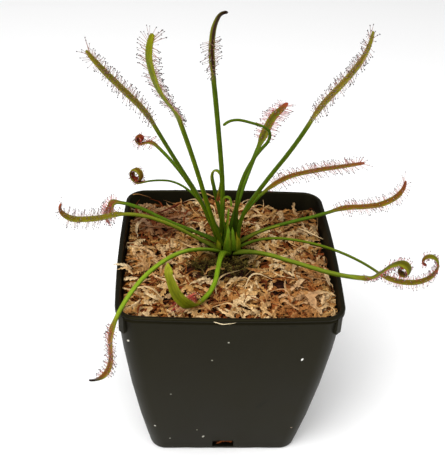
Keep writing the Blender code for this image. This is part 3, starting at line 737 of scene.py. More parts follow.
def pot_ring(z, inset=0.0):
    """Outline of the pot's wall at a height, drawn in by an inset."""
    return pot_outline(pot_side(z) - 2 * inset, pot_radius(z) - inset, z, SIDE_BOW * z / POT_HEIGHT)


def wall_rings(inset=0.0):
    """The wall's outlines at a quarter, half and three quarters of its height."""
    return [pot_ring(POT_HEIGHT * quarter / 4, inset) for quarter in (1, 2, 3)]


def rim_ring(z, inset=0.0):
    """Outline of the band round the rim."""
    lip = (POT_RIM_SIDE - POT_MOUTH_SIDE) / 2
    return pot_outline(POT_RIM_SIDE - 2 * inset, RIM_RADIUS + lip - inset, z, SIDE_BOW)


def lip_rings():
    """The rim's band: a rounded lower edge, an upright face and a rounded top edge."""
    rings = []
    for step in range(LIP_STEPS + 1):
        angle = math.pi / 2 * step / LIP_STEPS
        fall = EDGE_ROUND * (1 - math.sin(angle))
        rings.append(rim_ring(POT_HEIGHT - RIM_BAND + fall, fall * LIP_UNDERCUT))
    rings.sort(key=lambda ring: ring[0].z)
    for step in range(LIP_STEPS + 1):
        angle = math.pi / 2 * step / LIP_STEPS
        z = POT_HEIGHT - EDGE_ROUND * (1 - math.sin(angle))
        rings.append(rim_ring(z, EDGE_ROUND * (1 - math.cos(angle))))
    return rings


def make_pot():
    """Up the outside from the foot to the rim, then down the inside to the floor."""
    rings = [pot_ring(0, EDGE_ROUND), pot_ring(EDGE_ROUND / 3, EDGE_ROUND / 3), pot_ring(EDGE_ROUND)]
    rings += [pot_ring(SCALLOP_RISE + EDGE_ROUND), pot_ring(SLOT_SILL + SLOT_SIZE[1] + EDGE_ROUND)]
    rings += [*wall_rings(), pot_ring(POT_HEIGHT - RIM_BAND - EDGE_ROUND / 2)]
    rings += lip_rings()
    rings += [
        pot_ring(POT_HEIGHT, POT_WALL - EDGE_ROUND / 2),
        pot_ring(POT_HEIGHT - EDGE_ROUND / 4, POT_WALL - EDGE_ROUND / 8),
        pot_ring(POT_HEIGHT - EDGE_ROUND / 2, POT_WALL),
    ]
    rings += wall_rings(POT_WALL)[::-1]
    rings += [pot_ring(POT_FLOOR + EDGE_ROUND, POT_WALL), pot_ring(POT_FLOOR, POT_WALL + EDGE_ROUND)]
    plastic = make_polypropylene()
    shell = add_object("moulded_shell", loft(rings), plastic)
    pot = grow("pot", shell.data, make_moulding_tree(), **{
        "Slot": (SLOT_SIZE[0], SLOT_CUT, SLOT_SIZE[1]),
        "Slot Place": (0, -POT_BASE_SIDE / 2, SLOT_SILL + SLOT_SIZE[1] / 2),
        "Scallop Radius": SCALLOP_RADIUS,
        "Scallop Place": (SCALLOP_OFFSET, -POT_BASE_SIDE / 2, SCALLOP_RISE - SCALLOP_RADIUS),
        "Lug": LUG_SIZE,
        "Lug Place": lug_place(),
        "Finish": plastic,
    })
    bpy.data.objects.remove(shell)
    pot.data.set_sharp_from_angle(angle=SMOOTH_ANGLE)
    declare(pot, "pot_plastic", "nursery_pot")


def lug_place():
    """Middle of the lug on the right front corner, under the rim."""
    _, deep, tall = LUG_SIZE
    middle = POT_HEIGHT - (RIM_BAND + tall) / 2
    radius = pot_radius(middle)
    along = pot_side(middle) / 2 - radius + (radius + (deep - POT_WALL) / 2) / math.sqrt(2)
    return (along, -along, middle)


def make_moulding_tree():
    """Four times round the pot: a lug is joined to the wall, a slot and two scallops are cut out of it."""
    tree, given = start_tree("moulding of the pot", {
        "Vector": ("Slot", "Slot Place", "Scallop Place", "Lug", "Lug Place"),
        "Float": ("Scallop Radius",),
        "Material": ("Finish",),
    })
    walls = add_node(tree, "GeometryNodePoints", {"Count": 4, "Position": (0, 0, 0)})
    index = add_node(tree, "GeometryNodeInputIndex")
    quarter = add_node(tree, "ShaderNodeMath", {0: index, 1: math.pi / 2}, operation="MULTIPLY")
    turn = add_node(tree, "ShaderNodeCombineXYZ", {"Z": quarter})
    lug = add_node(tree, "GeometryNodeMeshCube", {"Size": given["Lug"]})
    slot = add_node(tree, "GeometryNodeMeshCube", {"Size": given["Slot"]})
    round_cut = {"Vertices": SCALLOP_SIDES, "Radius": given["Scallop Radius"], "Depth": SCALLOP_CUT}
    scallop = add_node(tree, "GeometryNodeMeshCylinder", round_cut)
    lugs = [(lug, "Lug Place", 1, (0, 0, math.pi / 4))]
    cuts = [(slot, "Slot Place", 1, (0, 0, 0))]
    cuts += [(scallop, "Scallop Place", side, (math.pi / 2, 0, 0)) for side in (1, -1)]
    shape = given["Geometry"]
    for kind, into, parts in (("UNION", "Mesh 2", lugs), ("DIFFERENCE", "Mesh 1", cuts)):
        group = add_node(tree, "GeometryNodeJoinGeometry")
        for part, place, side, rotation in parts:
            mirrored = {0: given[place], 1: (side, 1, 1)}
            there = add_node(tree, "ShaderNodeVectorMath", mirrored, operation="MULTIPLY")
            moved = {"Geometry": part, "Translation": there, "Rotation": rotation}
            feed(tree, group, {0: add_node(tree, "GeometryNodeTransform", moved)})
        spread = {"Points": walls, "Instance": group, "Rotation": turn}
        copies = add_node(tree, "GeometryNodeInstanceOnPoints", spread)
        real = add_node(tree, "GeometryNodeRealizeInstances", {"Geometry": copies})
        solid = add_node(tree, "GeometryNodeMeshBoolean", {"Mesh 2": real}, operation=kind, solver="EXACT")
        feed(tree, solid, {into: shape})
        shape = solid
    end_tree(tree, shape, given["Finish"])
    return tree


def start_tree(name, sockets):
    """A geometry tree with named inputs, listed by kind."""
    tree = bpy.data.node_groups.new(name, "GeometryNodeTree")
    tree.interface.new_socket("Geometry", in_out="INPUT", socket_type="NodeSocketGeometry")
    for kind, labels in sockets.items():
        for label in labels:
            tree.interface.new_socket(label, in_out="INPUT", socket_type="NodeSocket" + kind)
    tree.interface.new_socket("Geometry", in_out="OUTPUT", socket_type="NodeSocketGeometry")
    return tree, add_node(tree, "NodeGroupInput").outputs


def scatter(tree, given, cover, densest):
    """Evenly spaced random spots on a surface, fewer where it stores less cover."""
    inputs = {
        "Mesh": given["Geometry"],
        "Distance Min": given["Spacing"],
        "Density Max": densest,
        "Density Factor": add_node(
            tree, "GeometryNodeInputNamedAttribute", {"Name": cover}, data_type="FLOAT"
        ),
        "Seed": given["Seed"],
    }
    return add_node(tree, "GeometryNodeDistributePointsOnFaces", inputs, distribute_method="POISSON")


def plant(tree, given, tone, points, **inputs):
    """Ends a tree with an instance at each point, which stores its tone for the material."""
    feeds = {"Points": points, **inputs}
    planted = add_node(tree, "GeometryNodeInstanceOnPoints", feeds)
    toned = {"Geometry": planted, "Name": "tone", "Value": tone}
    kinds = {"data_type": "FLOAT", "domain": "INSTANCE"}
    end_tree(tree, add_node(tree, "GeometryNodeStoreNamedAttribute", toned, **kinds), given["Finish"])
    return tree


def end_tree(tree, geometry, finish):
    """Makes the instances real, shades them smooth and gives them their finish."""
    real = add_node(tree, "GeometryNodeRealizeInstances", {"Geometry": geometry})
    smooth = add_node(tree, "GeometryNodeSetShadeSmooth", {"Geometry": real})
    finished = add_node(tree, "GeometryNodeSetMaterial", {"Geometry": smooth, "Material": finish})
    add_node(tree, "NodeGroupOutput", {"Geometry": finished})


def grow(name, base, tree, **values):
    """A plain mesh piece that a geometry tree makes from a base mesh."""
    obj = link_object(name, base)
    modifier = obj.modifiers.new(tree.name, "NODES")
    modifier.node_group = tree
    sockets = tree.interface.items_tree
    identifiers = {item.name: item.identifier for item in sockets if item.in_out == "INPUT"}
    for label, value in values.items():
        modifier[identifiers[label]] = value
    return plain_mesh(obj)


def cushion_share(x, y):
    """0 at the middle of the live moss and 1 at its edge, more outside it."""
    return math.hypot((x - CUSHION_CENTRE[0]) / CUSHION_RADII[0], (y - CUSHION_CENTRE[1]) / CUSHION_RADII[1])


def bed_height(x, y):
    """Height of the moss at a place: level, with named mounds, fine relief and a seat for the live moss."""
    z = BED_HEIGHT
    for centre_x, centre_y, radius, rise in BED_MOUNDS:
        away = math.hypot(x / MM - centre_x, y / MM - centre_y) / radius
        z += rise * MM * math.exp(-away * away)
    start, end = CUSHION_FADE
    outside = ease((cushion_share(x, y) - start) / (end - start))
    relief = BED_RELIEF * noise.noise(Vector((x, y, 0)) * RELIEF_PER_METRE)
    return z + relief * outside - CUSHION_SEAT * (1 - outside)


def litter_point(point):
    """A point of the litter between the strands, whose near-black colour is partly painted shade, a little
    below the moss's own height.
    """
    relief = LITTER_RELIEF * noise.noise(Vector((point.x, point.y, 0)) * LITTER_PER_METRE)
    sunk = LITTER_SUNK + WALL_GAP_DEPTH * (1 - off_wall(point))
    return Vector((point.x, point.y, bed_height(point.x, point.y) - sunk + relief))


def off_wall(point):
    """0 against the pot's wall and 1 a little way in, ragged."""
    to_wall = pot_side(BED_HEIGHT) / 2 - POT_WALL - max(abs(point.x), abs(point.y))
    ragged = noise.noise(Vector((point.x, point.y, 0)) * RELIEF_PER_METRE)
    return ease(to_wall / WALL_GAP_WIDTH + ragged)


def bed_edge(z):
    """Outline of the plug, a gap inside the pot's inner wall."""
    return pot_ring(z, POT_WALL + GAP)


def hole_ring(edge, radius, z=0.0):
    """Points round the stem's hole, each on the line from the crown to a point of the edge."""
    points = []
    for point in edge:
        away = (point - CROWN).xy.normalized() * radius
        points.append(Vector((CROWN.x + away.x, CROWN.y + away.y, z)))
    return points


def make_litter(finish):
    """The plug: up the pot's inside, over the surface to the stem's hole, and down the hole."""
    edge = bed_edge(BED_HEIGHT - LITTER_SUNK)
    mouth = hole_ring(edge, HOLE_TOP_RADIUS)
    rings = [pot_ring(POT_FLOOR + GAP, POT_WALL + GAP + EDGE_ROUND), bed_edge(POT_FLOOR + GAP + EDGE_ROUND)]
    rings += wall_rings(POT_WALL + GAP)
    below = len(rings)
    for ring in range(BED_RINGS + 1):
        share = ring / BED_RINGS
        rings.append([litter_point(out.lerp(inner, share)) for out, inner in zip(edge, mouth)])
    rings += [hole_ring(edge, HOLE_RADIUS, CROWN.z - depth) for depth in (HOLE_NECK, HOLE_DEPTH)]
    litter = add_object("moss_litter", loft(rings), finish)
    cover = []
    for number, ring in enumerate(rings):
        on_top = below <= number <= below + BED_RINGS
        cover += [moss_cover(point) if on_top else 0.0 for point in ring]
    keep(litter.data, "cover", cover)
    return litter


def moss_cover(point):
    """How thickly strands lie at a place: full, and thin by the crown and on the live moss."""
    from_crown = (point - CROWN).xy.length
    by_crown = ease((from_crown - COVER_START) / COVER_FADE)
    start, end = CUSHION_THIN
    on_cushion = ease((cushion_share(point.x, point.y) - start) / (end - start))
    off_cushion = mix(COVER_ON_CUSHION, 1.0, on_cushion)
    by_wall = mix(COVER_BY_WALL, 1.0, off_wall(point))
    middle, spread = CLUMP_SPREAD
    clumps = noise.noise(Vector((point.x, point.y, CROWN.z)) * CLUMPS_PER_METRE)
    in_clumps = mix(COVER_BETWEEN_CLUMPS, 1.0, ease(middle + spread * clumps))
    return min(by_crown, off_cushion, by_wall) * in_clumps


def strand_mesh(name, strand, draw):
    """One strand along X: four corners to a section, its width stepping in and out as little leaves."""
    rings = []
    for step in range(STRAND_STEPS + 1):
        share = step / STRAND_STEPS
        arch = math.sin(math.pi * share)
        middle = Vector((
            (share - 0.5) * strand.length,
            strand.bow * strand.length * arch + draw.uniform(-1, 1) * STRAND_WOBBLE * strand.width / 2,
            strand.arch * strand.length * arch + draw.uniform(-1, 1) * STRAND_WOBBLE * strand.thick / 2,
        ))
        full = math.sqrt(max(arch, STRAND_END)) * (1 + strand.scales * (0.5 if step % 2 else -0.5))
        angle = math.tau * strand.twist * (share - 0.5)
        across = Vector((0, math.cos(angle), math.sin(angle))) * strand.width / 2 * full
        up = Vector((0, -math.sin(angle), math.cos(angle))) * strand.thick / 2 * full
        lean = Vector((LEAFLET_LEAN * strand.width * (1 if step % 2 else -1) * strand.scales, 0, 0))
        rings.append([(middle + offset) * MM for offset in (across + lean, up, lean - across, -up)])
    strand_object = add_object(name, loft(rings))
    mesh = strand_object.data
    bpy.data.objects.remove(strand_object)
    keep(mesh, "edge", [1.0, 0.0, 1.0, 0.0] * (STRAND_STEPS + 1))
    return mesh


def strand_collection(name, kinds, seed):
    """Strands of some kinds, kept out of the scene for a geometry tree to draw from."""
    draw = random.Random(seed)
    group = bpy.data.collections.new(name)
    for kind in kinds:
        for number, strand in enumerate(STRANDS[kind]):
            label = f"{kind}_{number}"
            group.objects.link(bpy.data.objects.new(label, strand_mesh(label, strand, draw)))
    return group


def make_strewing_tree():
    """Strands lie at random on a surface, turned any way about its normal and a little tilted."""
    tree, given = start_tree("strewn moss strands", {
        "Collection": ("Strands",),
        "Float": ("Spacing", "Lowest", "Highest", "Tilt", "Smallest", "Largest"),
        "Int": ("Seed",),
        "Material": ("Finish",),
    })
    drawn = []
    for low, high in ((given["Lowest"], given["Highest"]), (given["Smallest"], given["Largest"]), (0.0, 1.0)):
        limits = {2: low, 3: high, "Seed": given["Seed"]}
        drawn.append(add_node(tree, "FunctionNodeRandomValue", limits, data_type="FLOAT").outputs[1])
    height, size, any_tone = drawn
    rise = add_node(tree, "ShaderNodeCombineXYZ", {"Z": height})
    spots = scatter(tree, given, "cover", STRANDS_DENSEST)
    raised = add_node(tree, "GeometryNodeSetPosition", {"Geometry": spots, "Offset": rise})
    tilt = given["Tilt"]
    back = add_node(tree, "ShaderNodeMath", {0: tilt, 1: -1.0}, operation="MULTIPLY")
    least = add_node(tree, "ShaderNodeCombineXYZ", {"X": back, "Y": back, "Z": 0.0})
    most = add_node(tree, "ShaderNodeCombineXYZ", {"X": tilt, "Y": tilt, "Z": math.tau})
    limits = {0: least, 1: most, "Seed": given["Seed"]}
    angles = add_node(tree, "FunctionNodeRandomValue", limits, data_type="FLOAT_VECTOR")
    turn = add_node(tree, "FunctionNodeEulerToRotation", {0: angles})
    picked = {"Collection": given["Strands"], "Separate Children": True, "Reset Children": True}
    kinds = add_node(tree, "GeometryNodeCollectionInfo", picked)
    clouds = add_node(tree, "ShaderNodeTexNoise", {"Scale": MOSS_PATCHES, "Detail": 1.0})
    patches = add_node(tree, "ShaderNodeMapRange", {"Value": clouds, "From Min": 0.35, "From Max": 0.65})
    tone = add_node(tree, "ShaderNodeMix", {0: 0.5, 2: any_tone, 3: patches}, data_type="FLOAT")
    laid = {"Instance": kinds, "Pick Instance": True, "Rotation": turn, "Scale": size}
    return plant(tree, given, tone, raised, **laid)


def press_inside(mesh):
    """Strands that would pass through the pot's wall turn along it and climb a little."""
    for vertex in mesh.vertices:
        point = vertex.co
        z = min(point.z, POT_HEIGHT)
        half = pot_side(z) / 2 - POT_WALL - WALL_CLEAR
        radius = pot_radius(z) - POT_WALL
        over = 0.0
        for axis in (0, 1):
            past = abs(point[axis]) - half
            if past > 0:
                over += past
                point[axis] = math.copysign(half, point[axis])
        corner = Vector((abs(point.x) - (half - radius), abs(point.y) - (half - radius)))
        if min(corner) > 0 and corner.length > radius:
            over += corner.length - radius
            held = corner.normalized() * radius
            point.x = math.copysign(half - radius + held.x, point.x)
            point.y = math.copysign(half - radius + held.y, point.y)
        point.z += over * WALL_CLIMB


def make_dried_sphagnum(name, stops):
    """Dried sphagnum: papery and matt, bleached at the tips of its little leaves, in drifts of colour."""
    made, tree, shader = start_material(name)
    place = add_node(tree, "ShaderNodeTexCoord").outputs["Object"]
    tone = add_node(tree, "ShaderNodeAttribute", attribute_name="tone").outputs["Fac"]
    edge = add_node(tree, "ShaderNodeAttribute", attribute_name="edge").outputs["Fac"]
    colour = set_stops(add_node(tree, "ShaderNodeValToRGB", {"Fac": tone}), *stops)
    drift = add_node(tree, "ShaderNodeTexNoise", {"Vector": place, "Scale": MOSS_DRIFTS, "Detail": 2.0})
    for (x, y), radius, hexa in MOSS_REGIONS:
        near = spot(tree, place, (x, y, BED_HEIGHT / MM), (radius, radius, 1000))
        ragged = add_node(tree, "ShaderNodeMath", {0: near, 1: drift}, operation="MULTIPLY")
        strength = {"Value": ragged, "From Min": 0.05, "From Max": 0.24, "To Max": 0.52}
        layers = {0: add_node(tree, "ShaderNodeMapRange", strength), 6: colour, 7: linear(hexa)}
        colour = add_node(tree, "ShaderNodeMix", layers, data_type="RGBA").outputs[2]
    fibres = add_node(tree, "ShaderNodeTexNoise", {"Vector": place, "Scale": MOSS_FIBRES, "Detail": 3.0})
    contrast = {"Value": fibres, "From Min": 0.3, "From Max": 0.7, "To Min": 0.62, "To Max": 1.25}
    streak = add_node(tree, "ShaderNodeMapRange", contrast)
    bleach = add_node(tree, "ShaderNodeMapRange", {"Value": edge, "To Min": 0.8, "To Max": 1.15})
    value = add_node(tree, "ShaderNodeMath", {0: streak, 1: bleach}, operation="MULTIPLY")
    final = add_node(tree, "ShaderNodeHueSaturation", {"Color": colour, "Value": value})
    bump = add_node(tree, "ShaderNodeBump", {"Strength": 0.6, "Distance": 0.2 * MM, "Height": fibres})
    feed(tree, shader, {"Base Color": final, "Roughness": 0.85, "Specular IOR Level": 0.12, "Normal": bump})
    return made


def make_peat_with_painted_shade():
    """Damp decayed moss: dark brown, and nearly black as painted shade where it shows through the gaps
    between strands and shoots.
    """
    made, tree, shader = start_material("decayed moss with painted shade")
    place = add_node(tree, "ShaderNodeTexCoord").outputs["Object"]
    clumps = add_node(tree, "ShaderNodeTexNoise", {"Vector": place, "Scale": DECAYED_CLUMPS, "Detail": 4.0})
    # Dark brown decayed moss, and near black as painted shade in the gaps
    stops = ((0.35, "0C0402"), (0.55, "260E05"), (0.75, "4A220C"))
    colour = set_stops(add_node(tree, "ShaderNodeValToRGB", {"Fac": clumps}), *stops)
    bump = add_node(tree, "ShaderNodeBump", {"Strength": 1.0, "Distance": 0.5 * MM, "Height": clumps})
    feed(tree, shader, {"Base Color": colour, "Roughness": 0.9, "Specular IOR Level": 0.1, "Normal": bump})
    return made


def make_loose_strands():
    """Strands that stand out from the moss, each placed as listed."""
    draw = random.Random(LOOSE_SEED)
    bm = bmesh.new()
    tones = []
    for place, heading, pitch, tone, shape in LOOSE_STRANDS:
        strand = strand_mesh("loose_strand", shape, draw)
        turn = Matrix.Rotation(math.radians(heading), 4, "Z") @ Matrix.Rotation(math.radians(-pitch), 4, "Y")
        strand.transform(Matrix.Translation(Vector(place) * MM) @ turn)
        tones += [tone] * len(strand.vertices)
        bm.from_mesh(strand)
        bpy.data.meshes.remove(strand)
    piece = add_object("moss_loose_strands", bm, make_dried_sphagnum("loose moss strands", LOOSE_TINTS))
    keep(piece.data, "tone", tones)
    declare(piece, "dried_moss")


def strew(name, base, tree, kinds, spacing, heights, tilt, sizes, seed, finish):
    """Kinds of strands or shoots, laid over a base mesh; the kinds themselves are then removed."""
    piece = grow(name, base, tree, **{
        "Strands": kinds,
        "Spacing": spacing,
        "Lowest": heights[0],
        "Highest": heights[1],
        "Tilt": tilt,
        "Smallest": sizes[0],
        "Largest": sizes[1],
        "Seed": seed,
        "Finish": finish,
    })
    for kind in list(kinds.objects):
        bpy.data.objects.remove(kind)
    bpy.data.collections.remove(kinds)
    return piece


def make_moss():
    make_loose_strands()
    litter = make_litter(make_peat_with_painted_shade())
    tree = make_strewing_tree()
    for seed, (name, (kinds, *laid, stops)) in enumerate(MOSS_LAYERS.items(), 1):
        strands = strand_collection(name + "_kinds", kinds, seed)
        finish = make_dried_sphagnum(name.replace("_", " "), stops)
        piece = strew(name, litter.data, tree, strands, *laid, seed, finish)
        press_inside(piece.data)
        declare(piece, "dried_moss")
    declare(litter, "dried_moss", "sphagnum_bed")


def cushion_point(share, angle, above):
    """A point over the bed, at a share of the live moss's radii."""
    x = CUSHION_CENTRE[0] + share * CUSHION_RADII[0] * math.cos(angle)
    y = CUSHION_CENTRE[1] + share * CUSHION_RADII[1] * math.sin(angle)
    return Vector((x, y, bed_height(x, y) + CUSHION_GAP + above))


def cushion_rise(share):
    """How far the pad stands over its seat, from its middle, 0, to its edge, 1."""
    return CUSHION_RISE * (1 + CUSHION_EDGE - share**3)


def shoot_mesh():
    """One upright moss shoot: pointed little leaves in a spiral, wider towards the top."""
    bm = bmesh.new()
    for number in range(SHOOT_LEAVES):
        share = (number + 0.5) / SHOOT_LEAVES
        angle = number * math.radians(SHOOT_TURN)
        out = ray(angle)
        across = Vector((-math.sin(angle), math.cos(angle), 0)) * SHOOT_LEAF[1] / 2
        foot = UP * SHOOT_HEIGHT * share
        reach = SHOOT_LEAF[0] * (0.6 + 0.4 * share)
        middle = foot + out * reach * 0.5 + UP * reach * 0.45
        tip = foot + out * reach + UP * reach * (0.5 - 0.3 * (1 - share))
        top = [bm.verts.new(point * MM) for point in (foot, middle + across, tip, middle - across)]
        low = bm.verts.new((foot + (tip - foot) * 0.4 - UP * 0.12) * MM)
        bm.faces.new(top)
        for a, b in zip(top, top[1:] + top[:1]):
            bm.faces.new((b, a, low))
    shoot = add_object("moss_shoot", bm)
    mesh = shoot.data
    bpy.data.objects.remove(shoot)
    keep(mesh, "edge", [vertex.co.z / (SHOOT_HEIGHT * MM) for vertex in mesh.vertices])
    return mesh


def make_live_moss_green():
    """Living moss: olive and yellow-green leaf tips over a dark brown-green base."""
    made, tree, shader = start_material("live green moss")
    heights = ((0.1, "0C0702"), (0.6, "2C2006"), (1.0, "4E4410"))
    tones = ((0.0, "341C08"), (0.4, "3E320C"), (1.0, "706224"))
    tints = []
    for label, stops in (("edge", heights), ("tone", tones)):
        kept = add_node(tree, "ShaderNodeAttribute", attribute_name=label).outputs["Fac"]
        tints.append(set_stops(add_node(tree, "ShaderNodeValToRGB", {"Fac": kept}), *stops))
    layers = {0: 0.45, 6: tints[0], 7: tints[1]}
    colour = add_node(tree, "ShaderNodeMix", layers, data_type="RGBA").outputs[2]
    feed(tree, shader, {"Base Color": colour, "Roughness": 0.7, "Specular IOR Level": 0.15})
    return made


def make_live_moss():
    """A low pad that follows the bed, covered in upright shoots."""

    def ring(share, above):
        return [cushion_point(share, math.tau * i / CUSHION_SIDES, above) for i in range(CUSHION_SIDES)]

    rings = [ring(share, 0) for share in CUSHION_UNDER]
    rings += [ring(share, cushion_rise(share) - CUSHION_SUNK * (1 - share)) for share in CUSHION_OVER]
    pad = add_object("live_moss_pad", loft(rings), make_peat_with_painted_shade())
    upper = len(CUSHION_UNDER) * CUSHION_SIDES
    keep(pad.data, "cover", [0.0] * upper + [1.0] * (len(pad.data.vertices) - upper))
    kinds = bpy.data.collections.new("shoots")
    kinds.objects.link(bpy.data.objects.new("shoot", shoot_mesh()))
    shoots = strew("live_moss_shoots", pad.data, make_strewing_tree(), kinds, *SHOOTS, make_live_moss_green())
    declare(pad, "green_moss", "live_moss")
    declare(shoots, "green_moss")


def crown_radius(height):
    """Radius of the crown, in millimetres, at a height over its foot."""
    for (high, r_high), (low, r_low) in zip(CROWN_PROFILE, CROWN_PROFILE[1:]):
        if low <= height <= high:
            return r_low + (r_high - r_low) * (height - low) / (high - low)
    return 0.0


def make_crown():
    """A turned stem: a short cone above the moss and a tapering rootstock below it."""
    mesh = bpy.data.meshes.new("crown")
    flat = [Vector((radius * MM, 0, height * MM)) for height, radius in CROWN_PROFILE]
    mesh.from_pydata(flat, [(i, i + 1) for i in range(len(flat) - 1)], [])
    crown = link_object("crown", mesh)
    turned = crown.modifiers.new("turned", "SCREW")
    turned.steps = turned.render_steps = CROWN_STEPS
    turned.use_merge_vertices = True
    turned.merge_threshold = 0.05 * MM
    turned.use_smooth_shade = True
    plain_mesh(crown)
    crown.data.transform(Matrix.Translation(CROWN))
    crown.data.materials.append(make_crown_skin())
    declare(crown, "leaf", "crown_stem")


def make_crown_skin():
    """Living stem: pale green where the leaves part, brown where it meets the moss."""
    made, tree, shader = start_material("living crown stem")
    place = add_node(tree, "ShaderNodeTexCoord").outputs["Object"]
    height = add_node(tree, "ShaderNodeSeparateXYZ", {"Vector": place}).outputs["Z"]
    limits = {"Value": height, "From Min": CROWN.z - 1 * MM, "From Max": CROWN.z + 8 * MM}
    share = add_node(tree, "ShaderNodeMapRange", limits)
    stops = ((0.0, "1E1408"), (0.4, "34380F"), (1.0, "5A6A1E"))
    colour = set_stops(add_node(tree, "ShaderNodeValToRGB", {"Fac": share}), *stops)
    feed(tree, shader, {"Base Color": colour, "Roughness": 0.55, "Specular IOR Level": 0.15})
    return made


def read_along(values, share):
    """The value at a share of the way along a list of even steps."""
    if len(values) == 1:
        return values[0]
    place = min(max(share, 0.0), 1.0) * (len(values) - 1)
    first = min(int(place), len(values) - 2)
    return values[first] + (values[first + 1] - values[first]) * (place - first)


def leaf_length(leaf):
    """Length of stalk, blade and rolled tip."""
    angle, first, last = leaf.curl
    return leaf.stalk + leaf.blade + abs(math.radians(angle)) * (first + last) / 2


def lift_at(leaf, s):
    """The leaf's angle above the horizontal, in degrees, s millimetres along it."""
    if s <= leaf.stalk:
        return read_along(leaf.stalk_lifts, s / leaf.stalk)
    lifts = (leaf.stalk_lifts[-1],) + leaf.blade_lifts
    if s <= leaf.stalk + leaf.blade:
        return read_along(lifts, (s - leaf.stalk) / leaf.blade)
    angle, first, last = leaf.curl
    beyond = s - leaf.stalk - leaf.blade
    tightening = (last - first) / abs(math.radians(angle))
    turned = (math.sqrt(max(first * first + 2 * tightening * beyond, 0.0)) - first) / tightening
    return lifts[-1] + math.copysign(math.degrees(turned), angle)


def leaf_start(leaf):
    """Where the stalk's middle line leaves the crown, its back a gap away from it."""
    heading = math.radians(leaf.seat[0])
    standing = abs(math.sin(math.radians(leaf.stalk_lifts[0])))
    reach = crown_radius(leaf.seat[1]) + SEAT_GAP + STALK_THICK * leaf.stout / 2 * standing
    return CROWN / MM + Vector((reach * math.cos(heading), reach * math.sin(heading), leaf.seat[1]))


def leaf_path(leaf):
    """Stations along the leaf, close together on the blade and closest where its tip rolls up."""
    point = leaf_start(leaf)
    whole = leaf_length(leaf)
    steps = round(whole / PATH_STEP)
    stations = []
    for i in range(steps + 1):
        s = whole * i / steps
        flat = ray(math.radians(read_along(leaf.headings, s / whole)))
        tilt = math.radians(lift_at(leaf, s))
        along = flat * math.cos(tilt) + UP * math.sin(tilt)
        spacing = STALK_STATION if s < leaf.stalk - BLADE_FLARE else BLADE_STATION
        if s > leaf.stalk + leaf.blade:
            spacing = ROLL_STATION
        if not stations or i == steps or s - stations[-1].s >= spacing - PATH_STEP / 2:
            rolled = min(max((s - leaf.stalk + BLADE_FLARE) / (2 * BLADE_FLARE), 0), 1)
            roll = Matrix.Rotation(math.radians(leaf.roll * rolled), 3, along)
            face = roll @ (UP * math.cos(tilt) - flat * math.sin(tilt))
            stations.append(Station(s, point.copy(), along, face, along.cross(face)))
        point = point + along * (whole / steps)
    return stations


def blade_share(leaf, s):
    """0 on the stalk and 1 on the sticky blade."""
    return ease((s - leaf.stalk + 1) / BLADE_FLARE) if leaf.width else 0.0


def blush(leaf, s):
    """0 where the leaf has the stalk's tint and 1 where it has the blade's."""
    return ease((s - leaf.stalk + BLUSH_LENGTH / 2) / BLUSH_LENGTH) if leaf.width else 0.0


def leaf_size(leaf, s):
    """Width and thickness of the leaf, s millimetres along it."""
    whole = leaf_length(leaf)
    stalk = STALK_WIDTH * (1 - STALK_TAPER * s / whole)
    stalk += (SHEATH_WIDTH - STALK_WIDTH) * max(0.0, 1 - s / SHEATH_LENGTH)
    stalk *= leaf.stout
    deep = STALK_THICK * leaf.stout
    if leaf.width == 0:
        taper = 1 - BARE_TAPER * s / whole
        return stalk * taper, deep * taper
    flare = blade_share(leaf, s)
    width = stalk + (leaf.width - stalk) * flare
    to_tip = max(0.0, (whole - s) / (TIP_SHARE * (whole - leaf.stalk)))
    if to_tip < 1:
        tip = min(leaf.tip, leaf.width)
        width = tip + (width - tip) * math.sqrt(to_tip)
    return width, deep + (BLADE_THICK - deep) * flare


def tentacle_reach(leaf, place, across):
    """Direction and length of a tentacle that stands at a share across the sticky face."""
    margin = abs(across) ** 1.5
    fan = ease(1 - (leaf_length(leaf) - place.s) / TIP_FAN)
    rolled = place.s > leaf.stalk + leaf.blade
    upright = mix(*(ROLLED_UPRIGHT if rolled else FACE_UPRIGHT), margin)
    direction = place.side * across * MARGIN_LEAN + place.face * upright + place.along * fan * FAN_LEAN
    length = mix(FACE_LENGTH, MARGIN_LENGTH, margin) * (ROLLED_SHARE if rolled else 1.0)
    grown = mix(FIRST_REACH, 1.0, ease((place.s - leaf.stalk) / REACH_LENGTH))
    length *= leaf.reach * min(1.0, leaf.width / 3) * grown
    length *= mix(1.0, FAN_REACH, fan)
    return direction.normalized() * length


def leaf_ring(leaf, place, shrink=1.0):
    """Corners round the leaf at a station; each is its point, place on the leaf and tentacle."""
    width, thick = leaf_size(leaf, place.s)
    on_blade = blade_share(leaf, place.s)
    channel = mix(STALK_CHANNEL, BLADE_CHANNEL, on_blade)
    corners = []
    for corner in range(LEAF_CORNERS):
        angle = math.tau * corner / LEAF_CORNERS
        across, up = math.cos(angle), math.sin(angle)
        rise = up * (1 - channel * (1 - across**2)) if up > 0 else up
        offset = place.side * across * width / 2 + place.face * rise * thick / 2
        haired = leaf.width > TIP_WIDTH and up > BARE_BACK and place.s < leaf_length(leaf) - leaf.bare_end
        sticky = on_blade if haired else 0.0
        corners.append((
            (place.point + offset * shrink) * MM,
            (across, place.s, up),
            blush(leaf, place.s),
            sticky * mix(FACE_COVER, 1.0, abs(across) ** 3),
            tentacle_reach(leaf, place, across) * MM,
            ease(1 - (leaf_length(leaf) - place.s) / END_LENGTH),
        ))
    return corners


